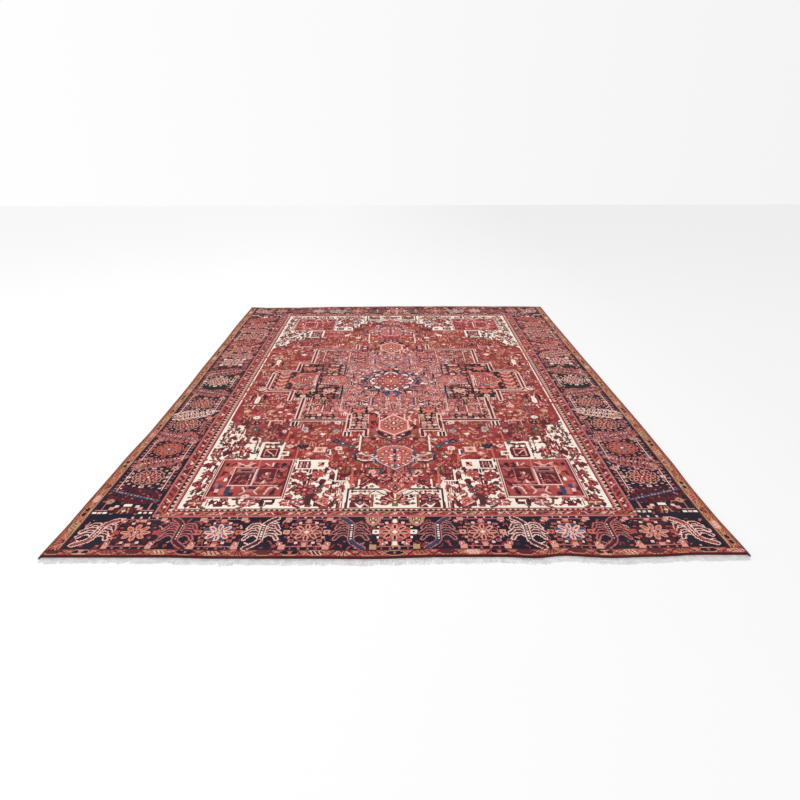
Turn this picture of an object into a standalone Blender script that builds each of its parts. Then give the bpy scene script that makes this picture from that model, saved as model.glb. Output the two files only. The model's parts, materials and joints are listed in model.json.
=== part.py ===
"""Hand-knotted area rug: a woven foundation, its knotted pile in nested bands, overcast side cords,
and at each end a twined row, a flat-woven band and a fringe.

Metres, +Z up, +Y along the rug. The origin is at the middle of the rug, on the floor.
Run with: blender --background --python part.py
"""

import math

import bmesh
import bpy
from mathutils import Matrix, Vector

# Overall sizes.
RUG_WIDTH = 3.000  # across the rug, over the side cords
PILE_LENGTH = 4.000  # along the rug, from the first row of knots to the last

# Thicknesses.
FOUNDATION_THICKNESS = 0.0030  # warps and wefts, woven tight
PILE_HEIGHT = 0.0060  # clipped pile, above the foundation

# The bands of the design, from the outside in: name, width along the sides, width at the ends.
OUTER_GUARD_SIDE = 0.060
OUTER_GUARD_END = 0.043
MAIN_BORDER_SIDE = 0.290
MAIN_BORDER_END = 0.240
INNER_GUARD_SIDE = 0.095
INNER_GUARD_END = 0.067

# Side finish: a bundle of warps, overcast with wool.
EDGE_CORD_DIAMETER = 0.0050
OVERCAST_THICKNESS = 0.0015

# End finish, from the pile outwards.
TWINED_ROW_DIAMETER = 0.0050
FLAT_WEAVE_WIDTH = 0.0100
FLAT_WEAVE_THICKNESS = 0.0022
FRINGE_LENGTH = 0.0300
FRINGE_THICKNESS = 0.0028

# Clearance between two pieces that touch on the real rug.
GAP = 0.0003

ROUND_SIDES = 20  # facets round a cord

# Colour of each piece, as sRGB hex.
COTTON = "C9C2B2"
OVERCAST_WOOL = "43201F"
TWINED_WOOL = "4A0F1C"
FLAT_WEAVE = "BDB9B0"
FRINGE_COTTON = "CFCDC8"
FIELD_RED = "A8423D"
BORDER_NAVY = "2B2330"
INNER_GUARD_ROSE = "B0554C"
OUTER_GUARD_RUST = "B4614A"

# What the sizes above give.
SELVEDGE_DIAMETER = EDGE_CORD_DIAMETER + 2 * (GAP + OVERCAST_THICKNESS)
PILE_HALF_WIDTH = RUG_WIDTH / 2 - SELVEDGE_DIAMETER - GAP
PILE_HALF_LENGTH = PILE_LENGTH / 2
PILE_BOTTOM = FOUNDATION_THICKNESS + GAP
PILE_TOP = PILE_BOTTOM + PILE_HEIGHT

BANDS = (
    ("outer_guard", OUTER_GUARD_SIDE, OUTER_GUARD_END, OUTER_GUARD_RUST),
    ("main_border", MAIN_BORDER_SIDE, MAIN_BORDER_END, BORDER_NAVY),
    ("inner_guard", INNER_GUARD_SIDE, INNER_GUARD_END, INNER_GUARD_ROSE),
)


def linear(channel):
    """One sRGB channel, from 0 to 1, as the linear value that a shader takes."""
    return channel / 12.92 if channel <= 0.04045 else ((channel + 0.055) / 1.055) ** 2.4


def textile(name, hex_colour, roughness):
    material = bpy.data.materials.new(name)
    material.use_nodes = True
    shader = material.node_tree.nodes["Principled BSDF"]
    channels = [linear(int(hex_colour[i : i + 2], 16) / 255) for i in (0, 2, 4)]
    shader.inputs["Base Color"].default_value = (*channels, 1)
    shader.inputs["Roughness"].default_value = roughness
    shader.inputs["Metallic"].default_value = 0
    return material


def add_node(name, mesh_builder, hex_colour, roughness=0.9):
    """Turns a finished bmesh into the named object, with its own material."""
    bmesh.ops.recalc_face_normals(mesh_builder, faces=mesh_builder.faces)
    mesh = bpy.data.meshes.new(name)
    mesh_builder.to_mesh(mesh)
    mesh_builder.free()
    mesh.materials.append(textile(name, hex_colour, roughness))
    piece = bpy.data.objects.new(name, mesh)
    bpy.context.scene.collection.objects.link(piece)
    piece.parent = rug
    return piece


def drawn_in(corners, distance):
    """A convex outline, given anticlockwise, with each side moved in by the distance."""
    moved = []
    for i, corner in enumerate(corners):
        before = (corner - corners[i - 1]).normalized()
        after = (corners[(i + 1) % len(corners)] - corner).normalized()
        inward_before, inward_after = Vector((-before.y, before.x)), Vector((-after.y, after.x))
        bisector = (inward_before + inward_after).normalized()
        moved.append(corner + bisector * distance / bisector.dot(inward_before))
    return moved


def slab(corners, bottom, top):
    """A flat plate over an outline, from one height to another."""
    shape = bmesh.new()
    face = shape.faces.new([shape.verts.new((corner.x, corner.y, bottom)) for corner in corners])
    raised = bmesh.ops.extrude_face_region(shape, geom=[face])["geom"]
    lift = Vector((0, 0, top - bottom))
    bmesh.ops.translate(shape, verts=[v for v in raised if isinstance(v, bmesh.types.BMVert)], vec=lift)
    return shape


def rectangle(low_x, high_x, low_y, high_y):
    return [Vector((x, y)) for x, y in ((low_x, low_y), (high_x, low_y), (high_x, high_y), (low_x, high_y))]


def ring(shape, radius, y):
    """A round of vertices about the Y axis, at one place along it."""
    angles = [2 * math.pi * i / ROUND_SIDES for i in range(ROUND_SIDES)]
    return [shape.verts.new((radius * math.cos(a), y, radius * math.sin(a))) for a in angles]


def join_rings(shape, first, second):
    for i, j in zip(range(-1, ROUND_SIDES - 1), range(ROUND_SIDES), strict=True):
        shape.faces.new((first[i], first[j], second[j], second[i]))


def rod(radius, length):
    """A solid round rod along Y, centred on the origin."""
    shape = bmesh.new()
    ends = [ring(shape, radius, y) for y in (-length / 2, length / 2)]
    join_rings(shape, *ends)
    for end in ends:
        shape.faces.new(end)
    return shape


def sleeve(inner_radius, outer_radius, length):
    """A round sleeve along Y, open at both ends, centred on the origin."""
    shape = bmesh.new()
    corners = [(inner_radius, -1), (outer_radius, -1), (outer_radius, 1), (inner_radius, 1)]
    rings = [ring(shape, radius, end * length / 2) for radius, end in corners]
    for i, current in enumerate(rings):
        join_rings(shape, rings[i - 1], current)
    return shape


def band_outline(side, half_width, half_length, inner_half_width, inner_half_length):
    """One mitred strip of a band round the rug, anticlockwise, before its clearance."""
    corners = {
        "front": [(-1, -1, 0), (1, -1, 0), (1, -1, 1), (-1, -1, 1)],
        "right": [(1, -1, 0), (1, 1, 0), (1, 1, 1), (1, -1, 1)],
        "back": [(1, 1, 0), (-1, 1, 0), (-1, 1, 1), (1, 1, 1)],
        "left": [(-1, 1, 0), (-1, -1, 0), (-1, -1, 1), (-1, 1, 1)],
    }[side]
    reach = ((half_width, half_length), (inner_half_width, inner_half_length))
    return [Vector((x * reach[inner][0], y * reach[inner][1])) for x, y, inner in corners]


def make_foundation():
    outline = rectangle(-PILE_HALF_WIDTH, PILE_HALF_WIDTH, -PILE_HALF_LENGTH, PILE_HALF_LENGTH)
    add_node("foundation", slab(outline, 0, FOUNDATION_THICKNESS), COTTON)


def make_pile():
    """The pile, as strips from the outer guard inwards, and the field in the middle."""
    half_width, half_length = PILE_HALF_WIDTH, PILE_HALF_LENGTH
    for band, side_width, end_width, hex_colour in BANDS:
        inner_half_width, inner_half_length = half_width - side_width, half_length - end_width
        for side in ("left", "right", "front", "back"):
            outline = band_outline(side, half_width, half_length, inner_half_width, inner_half_length)
            strip = slab(drawn_in(outline, GAP / 2), PILE_BOTTOM, PILE_TOP)
            add_node(f"{band}_{side}", strip, hex_colour)
        half_width, half_length = inner_half_width, inner_half_length
    outline = rectangle(-half_width, half_width, -half_length, half_length)
    add_node("field_pile", slab(drawn_in(outline, GAP / 2), PILE_BOTTOM, PILE_TOP), FIELD_RED)


def make_sides():
    """The cord along each side, and the wool overcast round it."""
    length = 2 * (PILE_HALF_LENGTH + GAP + TWINED_ROW_DIAMETER + GAP + FLAT_WEAVE_WIDTH)
    outer_radius = SELVEDGE_DIAMETER / 2
    for side, sign in (("left", -1), ("right", 1)):
        place = Vector((sign * (RUG_WIDTH / 2 - outer_radius), 0, outer_radius))
        for name, shape, hex_colour in (
            ("edge_cord", rod(EDGE_CORD_DIAMETER / 2, length), COTTON),
            ("overcast", sleeve(outer_radius - OVERCAST_THICKNESS, outer_radius, length), OVERCAST_WOOL),
        ):
            piece = add_node(f"{name}_{side}", shape, hex_colour)
            piece.location = place
            piece.data.shade_smooth()
            piece.data.set_sharp_from_angle(angle=math.radians(40))


def make_ends():
    """The twined row that locks the pile, the flat-woven band and the fringe, at each end."""
    row_radius = TWINED_ROW_DIAMETER / 2
    weave_start = PILE_HALF_LENGTH + GAP + TWINED_ROW_DIAMETER + GAP
    fringe_start = weave_start + FLAT_WEAVE_WIDTH + GAP
    for end, sign in (("front", -1), ("back", 1)):
        row = rod(row_radius, 2 * PILE_HALF_WIDTH)
        bmesh.ops.rotate(row, verts=row.verts, matrix=Matrix.Rotation(math.pi / 2, 3, "Z"))
        piece = add_node(f"twined_row_{end}", row, TWINED_WOOL)
        piece.location = (0, sign * (PILE_HALF_LENGTH + GAP + row_radius), row_radius)
        piece.data.shade_smooth()
        piece.data.set_sharp_from_angle(angle=math.radians(40))

        low, high = sorted((sign * weave_start, sign * (weave_start + FLAT_WEAVE_WIDTH)))
        outline = rectangle(-PILE_HALF_WIDTH, PILE_HALF_WIDTH, low, high)
        add_node(f"flat_weave_{end}", slab(outline, 0, FLAT_WEAVE_THICKNESS), FLAT_WEAVE)

        low, high = sorted((sign * fringe_start, sign * (fringe_start + FRINGE_LENGTH)))
        outline = rectangle(-PILE_HALF_WIDTH, PILE_HALF_WIDTH, low, high)
        add_node(f"fringe_{end}", slab(outline, 0, FRINGE_THICKNESS), FRINGE_COTTON)


for leftover in list(bpy.data.objects):
    bpy.data.objects.remove(leftover)
rug = bpy.data.objects.new("rug", None)
bpy.context.scene.collection.objects.link(rug)
make_foundation()
make_pile()
make_sides()
make_ends()
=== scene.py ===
"""Hand-knotted wool rug, laid out flat: its pile tied knot by knot to a weaver's plan, overcast
sides, and at each end a twined row, a flat-woven band and a fringe.

Metres, +Z up, +Y along the rug, from its middle on the floor.
"""

import json
import functools
import math
import random

import bpy
import numpy as np
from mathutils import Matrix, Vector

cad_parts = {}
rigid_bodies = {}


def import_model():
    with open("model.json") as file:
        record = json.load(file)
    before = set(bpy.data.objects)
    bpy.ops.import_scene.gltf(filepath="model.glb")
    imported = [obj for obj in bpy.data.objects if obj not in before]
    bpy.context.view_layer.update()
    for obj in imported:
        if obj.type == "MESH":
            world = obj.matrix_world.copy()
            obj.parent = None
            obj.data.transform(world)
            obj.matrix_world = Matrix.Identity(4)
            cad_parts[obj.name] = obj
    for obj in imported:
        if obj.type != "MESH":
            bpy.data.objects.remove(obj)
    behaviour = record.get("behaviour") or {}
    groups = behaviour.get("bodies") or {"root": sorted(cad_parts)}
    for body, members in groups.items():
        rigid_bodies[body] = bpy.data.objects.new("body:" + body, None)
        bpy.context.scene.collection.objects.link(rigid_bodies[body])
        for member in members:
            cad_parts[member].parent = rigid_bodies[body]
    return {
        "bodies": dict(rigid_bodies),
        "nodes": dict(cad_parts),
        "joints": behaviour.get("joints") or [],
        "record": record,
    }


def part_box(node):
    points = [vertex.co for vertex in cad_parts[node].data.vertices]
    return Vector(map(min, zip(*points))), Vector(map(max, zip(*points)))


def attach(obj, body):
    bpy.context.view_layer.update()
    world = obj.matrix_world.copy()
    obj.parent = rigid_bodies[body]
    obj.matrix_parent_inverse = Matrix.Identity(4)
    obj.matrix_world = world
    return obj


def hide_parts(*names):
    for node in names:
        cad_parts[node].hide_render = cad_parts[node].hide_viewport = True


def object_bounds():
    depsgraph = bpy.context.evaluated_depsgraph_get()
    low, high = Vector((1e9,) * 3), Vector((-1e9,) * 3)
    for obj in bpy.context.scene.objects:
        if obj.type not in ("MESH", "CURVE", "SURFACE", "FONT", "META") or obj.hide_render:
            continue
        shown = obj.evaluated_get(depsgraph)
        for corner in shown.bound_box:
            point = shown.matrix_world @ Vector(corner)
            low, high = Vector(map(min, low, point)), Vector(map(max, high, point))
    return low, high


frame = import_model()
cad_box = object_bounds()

bl_info = {
    "name": "Hand-knotted area rug",
    "version": (1, 0, 0),
    "blender": (4, 5, 0),
    "location": "View3D > Sidebar > Rug",
    "description": "Builds a hand-knotted wool rug with its borders, selvedges and fringes",
    "category": "Add Mesh",
}

BODY = next(iter(frame["bodies"]))
SIDES = ("left", "right", "front", "back")

# Wool dyes, by the weaver's names. The first one is the field's ground.
DYES = {
    "madder": "94322F",
    "brick": "AC4743",
    "claret": "5F1C24",
    "plum": "3F202B",
    "navy": "181525",
    "black": "201917",
    "blue": "28466C",
    "sky": "5E7A94",
    "teal": "3C524E",
    "rust": "AE5A3F",
    "coral": "C9665A",
    "salmon": "D99384",
    "rose": "B86C69",
    "pink": "ECC1B5",
    "mauve": "9B6163",
    "tan": "B98F6C",
    "olive": "74683F",
    "ivory": "F4E8D8",
    "grey": "98989C",
}
DYE_NUMBERS = {name: number for number, name in enumerate(DYES)}


def linear(channel):
    """One sRGB channel, from 0 to 1, as the linear value that a shader takes."""
    return channel / 12.92 if channel <= 0.04045 else ((channel + 0.055) / 1.055) ** 2.4


def colour(hex_colour):
    """An sRGB hex colour as linear red, green and blue."""
    return tuple(linear(int(hex_colour[i : i + 2], 16) / 255) for i in (0, 2, 4))


# ---- settings ------------------------------------------------------------------------------------


class RugDyes(bpy.types.PropertyGroup):
    """The colours of the wool."""

    __annotations__ = {
        name: bpy.props.FloatVectorProperty(
            name=name.capitalize(),
            description=f"Colour of the wool dyed {name}",
            default=colour(hex_colour),
            subtype="COLOR",
            min=0,
            max=1,
        )
        for name, hex_colour in DYES.items()
    }


class RugSizes(bpy.types.PropertyGroup):
    """The sizes of the rug's yarns."""

    knot: bpy.props.FloatProperty(
        name="Knot",
        description="Width of one knot of the pile",
        default=0.005,
        min=0.003,
        max=0.02,
        subtype="DISTANCE",
        unit="LENGTH",
    )
    pile_unevenness: bpy.props.FloatProperty(
        name="Pile unevenness",
        description="How much the clipped height of the pile differs from knot to knot",
        default=0.0005,
        min=0,
        max=0.002,
        subtype="DISTANCE",
        unit="LENGTH",
    )
    overcast_pitch: bpy.props.FloatProperty(
        name="Overcast pitch",
        description="Distance along the side from one turn of the overcasting wool to the next",
        default=0.006,
        min=0.003,
        max=0.02,
        subtype="DISTANCE",
        unit="LENGTH",
    )
    strand_spacing: bpy.props.FloatProperty(
        name="Strand spacing",
        description="Distance from one strand of the fringe to the next",
        default=0.0042,
        min=0.003,
        max=0.02,
        subtype="DISTANCE",
        unit="LENGTH",
    )


# ---- the lie of the rug --------------------------------------------------------------------------

# How far a hand-woven edge lies from its straight line: (place along the edge, offset), in metres.
LEFT_EDGE = (
    (-2.0, -0.006), (-1.75, 0.003), (-1.2, 0.009), (-0.8, 0.022), (-0.2, 0.021),
    (0.3, 0.010), (0.8, 0.006), (1.4, -0.006), (2.0, -0.006),
)  # fmt: skip
RIGHT_EDGE = (
    (-2.0, 0.009), (-1.7, -0.002), (-1.5, -0.003), (-1.2, 0.006), (-0.8, 0.009),
    (0.0, 0.003), (0.5, -0.003), (1.6, -0.007), (2.0, -0.004),
)  # fmt: skip
FRONT_EDGE = (
    (-1.5, 0.002), (-1.0, 0.0), (-0.75, -0.010), (-0.4, -0.012), (-0.1, -0.016), (0.2, -0.004),
    (0.45, -0.004), (0.6, -0.013), (0.72, 0.003), (0.92, -0.014), (1.1, -0.006), (1.3, 0.007),
    (1.5, 0.006),
)  # fmt: skip
BACK_EDGE = (
    (-1.5, -0.008), (-1.3, -0.030), (-1.1, -0.028), (-0.6, 0.006), (0.0, 0.020), (0.6, 0.018),
    (1.2, 0.006), (1.5, -0.006),
)  # fmt: skip
EDGE_REACH = 0.22  # how far in from the edge the unevenness dies away


def along_edge(table, place):
    """The offset of an edge at some places along it, with smooth turns between the table's points."""
    at, offset = np.array(table).T
    i = np.clip(np.searchsorted(at, place) - 1, 0, len(at) - 2)
    t = np.clip((place - at[i]) / (at[i + 1] - at[i]), 0, 1)
    return offset[i] + (offset[i + 1] - offset[i]) * t * t * (3 - 2 * t)


def lie(points):
    """Moves points of the straight plan to where the rug lies, edges and all."""
    moved = np.array(points, float)
    x, y = moved[:, 0].copy(), moved[:, 1].copy()
    half_width, half_length = -cad_box[0][0], -cad_box[0][1]

    def share(inside):
        t = np.clip(1 - inside / EDGE_REACH, 0, 1)
        return t * t * (3 - 2 * t)

    moved[:, 0] += along_edge(LEFT_EDGE, y) * share(x + half_width)
    moved[:, 0] += along_edge(RIGHT_EDGE, y) * share(half_width - x)
    moved[:, 1] += along_edge(FRONT_EDGE, x) * share(y + half_length)
    moved[:, 1] += along_edge(BACK_EDGE, x) * share(half_length - y)
    return moved


# ---- meshes --------------------------------------------------------------------------------------


def quads_between(first, second):
    """Faces that join two closed rounds of vertex numbers."""
    return np.stack([first, np.roll(first, -1), np.roll(second, -1), second], 1)


def piece_from(name, points, quads, polygons=(), smooth=False):
    """A mesh object from an array of points, an array of quads and a few faces of any length."""
    mesh = bpy.data.meshes.new(name)
    corners = np.concatenate([np.asarray(quads, np.int32).ravel(), *map(np.asarray, polygons)])
    sizes = np.array([4] * len(quads) + [len(polygon) for polygon in polygons], np.int32)
    mesh.vertices.add(len(points))
    mesh.vertices.foreach_set("co", np.asarray(points, np.float32).ravel())
    mesh.loops.add(len(corners))
    mesh.loops.foreach_set("vertex_index", corners.astype(np.int32))
    mesh.polygons.add(len(sizes))
    mesh.polygons.foreach_set("loop_start", np.concatenate([[0], np.cumsum(sizes)[:-1]]).astype(np.int32))
    mesh.update(calc_edges=True)
    if mesh.validate():
        raise RuntimeError(f"{name}: the mesh has faults")
    mesh.polygons.foreach_set("use_smooth", np.full(len(sizes), smooth))
    piece = bpy.data.objects.new(name, mesh)
    bpy.context.scene.collection.objects.link(piece)
    return piece


def tube(centres, sides, radius, phase=None, squash=1.0, swell=0.0, lobes=2):
    """Points and faces of a closed tube along a line of points. The section may be lobed, and turn
    by a phase at each point, as a twisted cord does."""
    centres = np.asarray(centres, float)
    ahead = np.gradient(centres, axis=0)
    ahead /= np.linalg.norm(ahead, axis=1, keepdims=True)
    across = np.cross(ahead, (0, 0, 1))
    across /= np.linalg.norm(across, axis=1, keepdims=True)
    up = np.cross(across, ahead)
    angles = np.arange(sides) * 2 * math.pi / sides
    phase = np.zeros(len(centres)) if phase is None else phase
    radius = np.broadcast_to(np.asarray(radius, float), len(centres))[:, None]
    swelling = 1 - swell + swell * np.abs(np.cos(lobes * (angles[None] - phase[:, None]) / 2))
    r = radius * swelling
    points = centres[:, None] + across[:, None] * (r * np.cos(angles))[..., None]
    points = points + up[:, None] * (squash * r * np.sin(angles))[..., None]
    rounds = np.arange(len(centres) * sides).reshape(len(centres), sides)
    quads = np.concatenate([quads_between(a, b) for a, b in zip(rounds[:-1], rounds[1:], strict=True)])
    return points.reshape(-1, 3), quads, [rounds[0][::-1], rounds[-1]]


def give(piece, replaced):
    """Puts a piece in the place of the CAD solid that it stands for."""
    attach(piece, BODY)
    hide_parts(replaced)
    return piece


# ---- the weaver's plan ---------------------------------------------------------------------------
# All drawing is in millimetres of the finished rug, from its middle: x to the right, y to the back.


class KnotPlan:
    """One dye number for each knot of the pile. Later figures are tied over earlier ones."""

    def __init__(self, width, length, knot):
        self.knot = knot
        self.columns, self.rows = round(width / knot), round(length / knot)
        self.x = (np.arange(self.columns) + 0.5) * width / self.columns - width / 2
        self.y = (np.arange(self.rows) + 0.5) * length / self.rows - length / 2
        self.dyes = np.zeros((self.rows, self.columns), np.uint8)

    def window(self, points, margin=0.0):
        """The knots round some points: their slices, and their places as two arrays."""
        low, high = points.min(0) - margin, points.max(0) + margin
        columns = slice(*np.searchsorted(self.x, (low[0], high[0])))
        rows = slice(*np.searchsorted(self.y, (low[1], high[1])))
        return (rows, columns), *np.meshgrid(self.x[columns], self.y[rows])

    def tie(self, where, inside, dye):
        self.dyes[where][inside] = DYE_NUMBERS[dye]

    def fill(self, points, dye):
        """Every knot inside a closed outline."""
        where, x, y = self.window(points)
        inside = np.zeros(x.shape, bool)
        for (x0, y0), (x1, y1) in zip(points, np.roll(points, -1, 0), strict=True):
            if y0 != y1:
                crosses = (y0 > y) != (y1 > y)
                inside ^= crosses & (x < (x1 - x0) * (y - y0) / (y1 - y0) + x0)
        self.tie(where, inside, dye)

    def line(self, points, width, dye):
        """Every knot within half the width of a line, and at least the knots on it."""
        reach = max(width / 2, 0.51 * self.knot)
        for start, end in zip(points[:-1], points[1:], strict=True):
            where, x, y = self.window(np.stack([start, end]), reach)
            along, length = end - start, max(float((end - start) @ (end - start)), 1e-9)
            share = np.clip(((x - start[0]) * along[0] + (y - start[1]) * along[1]) / length, 0, 1)
            off = np.hypot(x - start[0] - share * along[0], y - start[1] - share * along[1])
            self.tie(where, off <= reach, dye)


class Pen:
    """Draws on the plan from a place of its own, turned, mirrored or scaled."""

    def __init__(self, plan, x=0.0, y=0.0, turn=0.0, flip_x=1, flip_y=1, size=1.0, lean=0.0):
        self.plan, self.place, self.size, self.lean = plan, (x, y), size, lean
        c, s = math.cos(math.radians(turn)), math.sin(math.radians(turn))
        self.matrix = np.array([[c * flip_x, s * flip_x], [-s * flip_y, c * flip_y]]) * size

    def on_rug(self, points):
        moved = np.asarray(points, float) @ self.matrix + self.place
        # The weaver's plan crept to the left as the field grew, most in the middle.
        middle = np.clip(1 - np.abs(moved[:, 0]) / 950, 0, 1)
        moved[:, 0] += self.lean * np.maximum(moved[:, 1] + 1300, 0) * middle
        return moved

    def at(self, x, y, turn=0.0, flip_x=1, flip_y=1, size=1.0):
        """A pen for a figure at a place that this pen draws."""
        pen = Pen(self.plan, size=size, turn=turn, flip_x=flip_x, flip_y=flip_y)
        pen.matrix = pen.matrix @ self.matrix
        pen.place = tuple(np.array([x, y], float) @ self.matrix + self.place)
        pen.size, pen.lean = self.size * size, self.lean
        return pen

    def fill(self, points, dye):
        self.plan.fill(self.on_rug(points), dye)

    def line(self, points, dye, width=5.0, closed=False):
        points = list(points) + [points[0]] if closed else points
        self.plan.line(self.on_rug(points), width * self.size, dye)

    def box(self, x, y, width, height, dye):
        self.fill(box_outline(x, y, width, height), dye)

    def frame(self, x, y, width, height, dye, line=5.0):
        self.line(box_outline(x, y, width, height), dye, line, closed=True)

    def oval(self, x, y, width, height, dye):
        self.fill(oval_outline(x, y, width, height), dye)


def box_outline(x, y, width, height):
    w, h = width / 2, height / 2
    return [(x - w, y - h), (x + w, y - h), (x + w, y + h), (x - w, y + h)]


def oval_outline(x, y, width, height, points=20):
    turns = [2 * math.pi * i / points for i in range(points)]
    return [(x + width / 2 * math.cos(a), y + height / 2 * math.sin(a)) for a in turns]


def lobed_outline(radius, lobes, depth, turn=0.0, points=96):
    """A closed round line that swells out into lobes."""
    outline = []
    for i in range(points):
        a = 2 * math.pi * i / points
        r = radius * (1 - depth + depth * abs(math.cos(lobes * (a - turn) / 2)))
        outline.append((r * math.cos(a), r * math.sin(a)))
    return outline


def mirrored(points):
    """A line and its mirror image, joined at the last point."""
    return list(points) + [(-x, y) for x, y in reversed(points)]


# ---- small figures -------------------------------------------------------------------------------


def floret(pen, petals, heart="ivory", tips=None, size=22.0):
    """Four petals and four dots round a heart."""
    r = size
    for x, y in ((r, 0), (-r, 0), (0, r), (0, -r)):
        pen.oval(x * 0.62, y * 0.62, r * 0.85, r * 0.85, petals)
    for x, y in ((1, 1), (-1, 1), (1, -1), (-1, -1)):
        pen.oval(x * r * 0.62, y * r * 0.62, r * 0.5, r * 0.5, tips or petals)
    pen.oval(0, 0, r * 0.55, r * 0.55, heart)


def blossom(pen, width, height, petals, outline, heart, core="ivory"):
    """A wide palmette: a lobed body in an outline, with rays and a heart."""
    body = [(x * width / 2, y * height / 2) for x, y in lobed_outline(1.0, 8, 0.2, math.pi / 8)]
    pen.fill(body, petals)
    pen.line(body, outline, 5, closed=True)
    for i in range(8):
        a = math.pi * i / 4
        tip = (math.cos(a) * width * 0.34, math.sin(a) * height * 0.34)
        pen.line([(tip[0] * 0.5, tip[1] * 0.5), tip], outline if i % 2 else core, 5)
    pen.oval(0, 0, width * 0.26, height * 0.26, heart)
    pen.oval(0, 0, width * 0.1, height * 0.1, core)


def tulip(pen, body, outline, heart, size=1.0):
    """A bud on a short stalk, opening upwards."""
    cup = [(-28, 20), (-20, -12), (0, -30), (20, -12), (28, 20), (12, 6), (0, 30), (-12, 6)]
    cup = [(x * size, y * size) for x, y in cup]
    pen.fill(cup, body)
    pen.line(cup, outline, 4, closed=True)
    pen.line([(0, -22 * size), (0, 12 * size)], heart, 6 * size)


def checked_square(pen, size, outline, inner, core):
    pen.box(0, 0, size, size, outline)
    pen.box(0, 0, size * 0.62, size * 0.62, inner)
    pen.box(0, 0, size * 0.28, size * 0.28, core)


def comb(pen, teeth, height, light, dark):
    """A row of upright teeth under a bar."""
    pitch = 13.0
    for i in range(teeth):
        x = (i - (teeth - 1) / 2) * pitch
        pen.box(x, -height / 2, pitch * 0.55, height, light)
        pen.box(x + pitch / 2, -height / 2, pitch * 0.45, height, dark)
    pen.box(0, 2, teeth * pitch, 6, light)



# ---- border figures ------------------------------------------------------------------------------


def looped_ring(pen, width, height, count, petals, inner, size):
    """Looped petals standing in a ring."""
    for i in range(count):
        a = 2 * math.pi * i / count
        petal = pen.at(math.cos(a) * width, math.sin(a) * height, turn=math.degrees(a) - 90)
        petal.oval(0, 0, size[0], size[1], petals)
        petal.oval(0, 0, size[0] * 0.5, size[1] * 0.64, inner)


def end_rosette(pen, frame, ground, petals, rays, heart, block):
    """The squarish rosette of the end borders: eight looped petals inside a ring of blocks."""
    for side in (-1, 1):
        for x, y, w, h, dye in (
            (0, 76, 26, 20, frame), (0, 78, 10, 12, block), (36, 70, 14, 13, "pink"), (20, 80, 9, 13, rays),
            (62, 58, 24, 17, frame), (76, 36, 13, 12, block), (84, 12, 9, 9, frame), (62, 58, 9, 8, ground),
            (-36, 70, 14, 13, "pink"), (-20, 80, 9, 13, rays), (-62, 58, 24, 17, frame),
            (-76, 36, 13, 12, block), (-84, 12, 9, 9, frame), (-62, 58, 9, 8, ground),
        ):  # fmt: skip
            pen.box(x, side * y, w, h, dye)
    pen.fill([(x * 76, y * 66) for x, y in lobed_outline(1.0, 8, 0.16, math.pi / 8)], frame)
    pen.fill([(x * 69, y * 60) for x, y in lobed_outline(1.0, 8, 0.16, math.pi / 8)], ground)
    looped_ring(pen, 44, 38, 8, petals, rays, (26, 48))
    pen.oval(0, 0, 30, 28, petals)
    pen.oval(0, 0, 20, 18, heart)
    pen.oval(0, 0, 9, 9, "ivory")


def bracket_bar(pen, length, bar, knob, tick):
    """A thin bar beside a rosette, with a knob at each end and ticks to the border's edge."""
    pen.line([(-length / 2, 0), (length / 2, 0)], bar, 5)
    for x in (-1, 1):
        pen.box(x * length / 2, 0, 27, 27, knob)
    for x in (-1.5, -0.5, 0.5, 1.5):
        pen.box(x * length / 5, 14, 8, 15, tick)
    pen.box(0, -9, 24, 18, knob)


def leaf_tree(pen, outline, inner, stem, seeds, head=1, wide=1.0):
    """The upright leaf of the end borders: a stem with three drooping lobes on each side, a head
    that leans one way and a foot that leans the other."""
    spine = [(-50, 106), (-28, 92), (-6, 64), (0, 46), (0, -52), (10, -72), (34, -92), (54, -108)]
    spine = [(head * x, y) for x, y in spine]
    lobes = [
        [(side * 6, y - 6), (side * 28, y + 15), (side * 54, y + 10), (side * reach, y - 20)]
        for side in (-1, 1)
        for y, reach in ((46, 68), (10, 80), (-28, 72))
    ]
    for lobe in lobes:
        pen.line(lobe, outline, 22 * wide)
        pen.line(lobe, inner, 22 * wide - 12)
    for width, dye in ((30, outline), (19, inner), (10, stem)):
        pen.line(spine, dye, width * wide)
    for i in range(7):
        pen.box(0, 50 - 16 * i, 6, 8, seeds)
    for sign in (-1, 1):
        pen.line([(-sign * head * 40, sign * 82), (-sign * head * 62, sign * 72)], outline, 6)


def side_rosette(pen, ground, outline, petals, heart, blocks, core="ivory", bold=False):
    """The round rosette of the side borders: two rings of petals inside a ring of blocks."""
    w, h = 88, 76
    for i in range(16):
        a = math.pi / 8 * i
        size = (24, 18) if i % 4 == 0 else (16, 13)
        if bold:
            size = (30, 34) if i % 2 == 0 else (0, 0)
        pen.box(math.cos(a) * w * 1.2, math.sin(a) * h * 1.2, *size, blocks if i % 4 == 0 else petals)
        if i % 4 == 0:
            pen.box(math.cos(a) * w * 1.2, math.sin(a) * h * 1.2, 8, 8, outline)
    rim = lobed_outline(1.0, 12, 0.12)
    for size, dye in ((1.0, petals), (0.92, outline), (0.84, ground)):
        pen.fill([(x * w * size, y * h * size) for x, y in rim], dye)
    looped_ring(pen, 54, 46, 6 if bold else 10, petals, outline, (38, 42) if bold else (25, 32))
    looped_ring(pen, 24, 21, 6, heart, petals, (19, 22))
    pen.oval(0, 0, 14, 13, core)


def ladder(pen, line, rungs, length=250):
    """The two upright lines beside a side rosette, with short rungs outside them."""
    for side in (-1, 1):
        pen.line([(side * 112, -length / 2), (side * 112, length / 2)], line, 5)
        for i in range(8):
            y = (i - 3.5) * length / 8.2
            pen.box(side * 128, y, 15, 8, rungs)
            pen.box(side * 98, y, 12, 6, rungs if i in (3, 4) else line)


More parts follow.
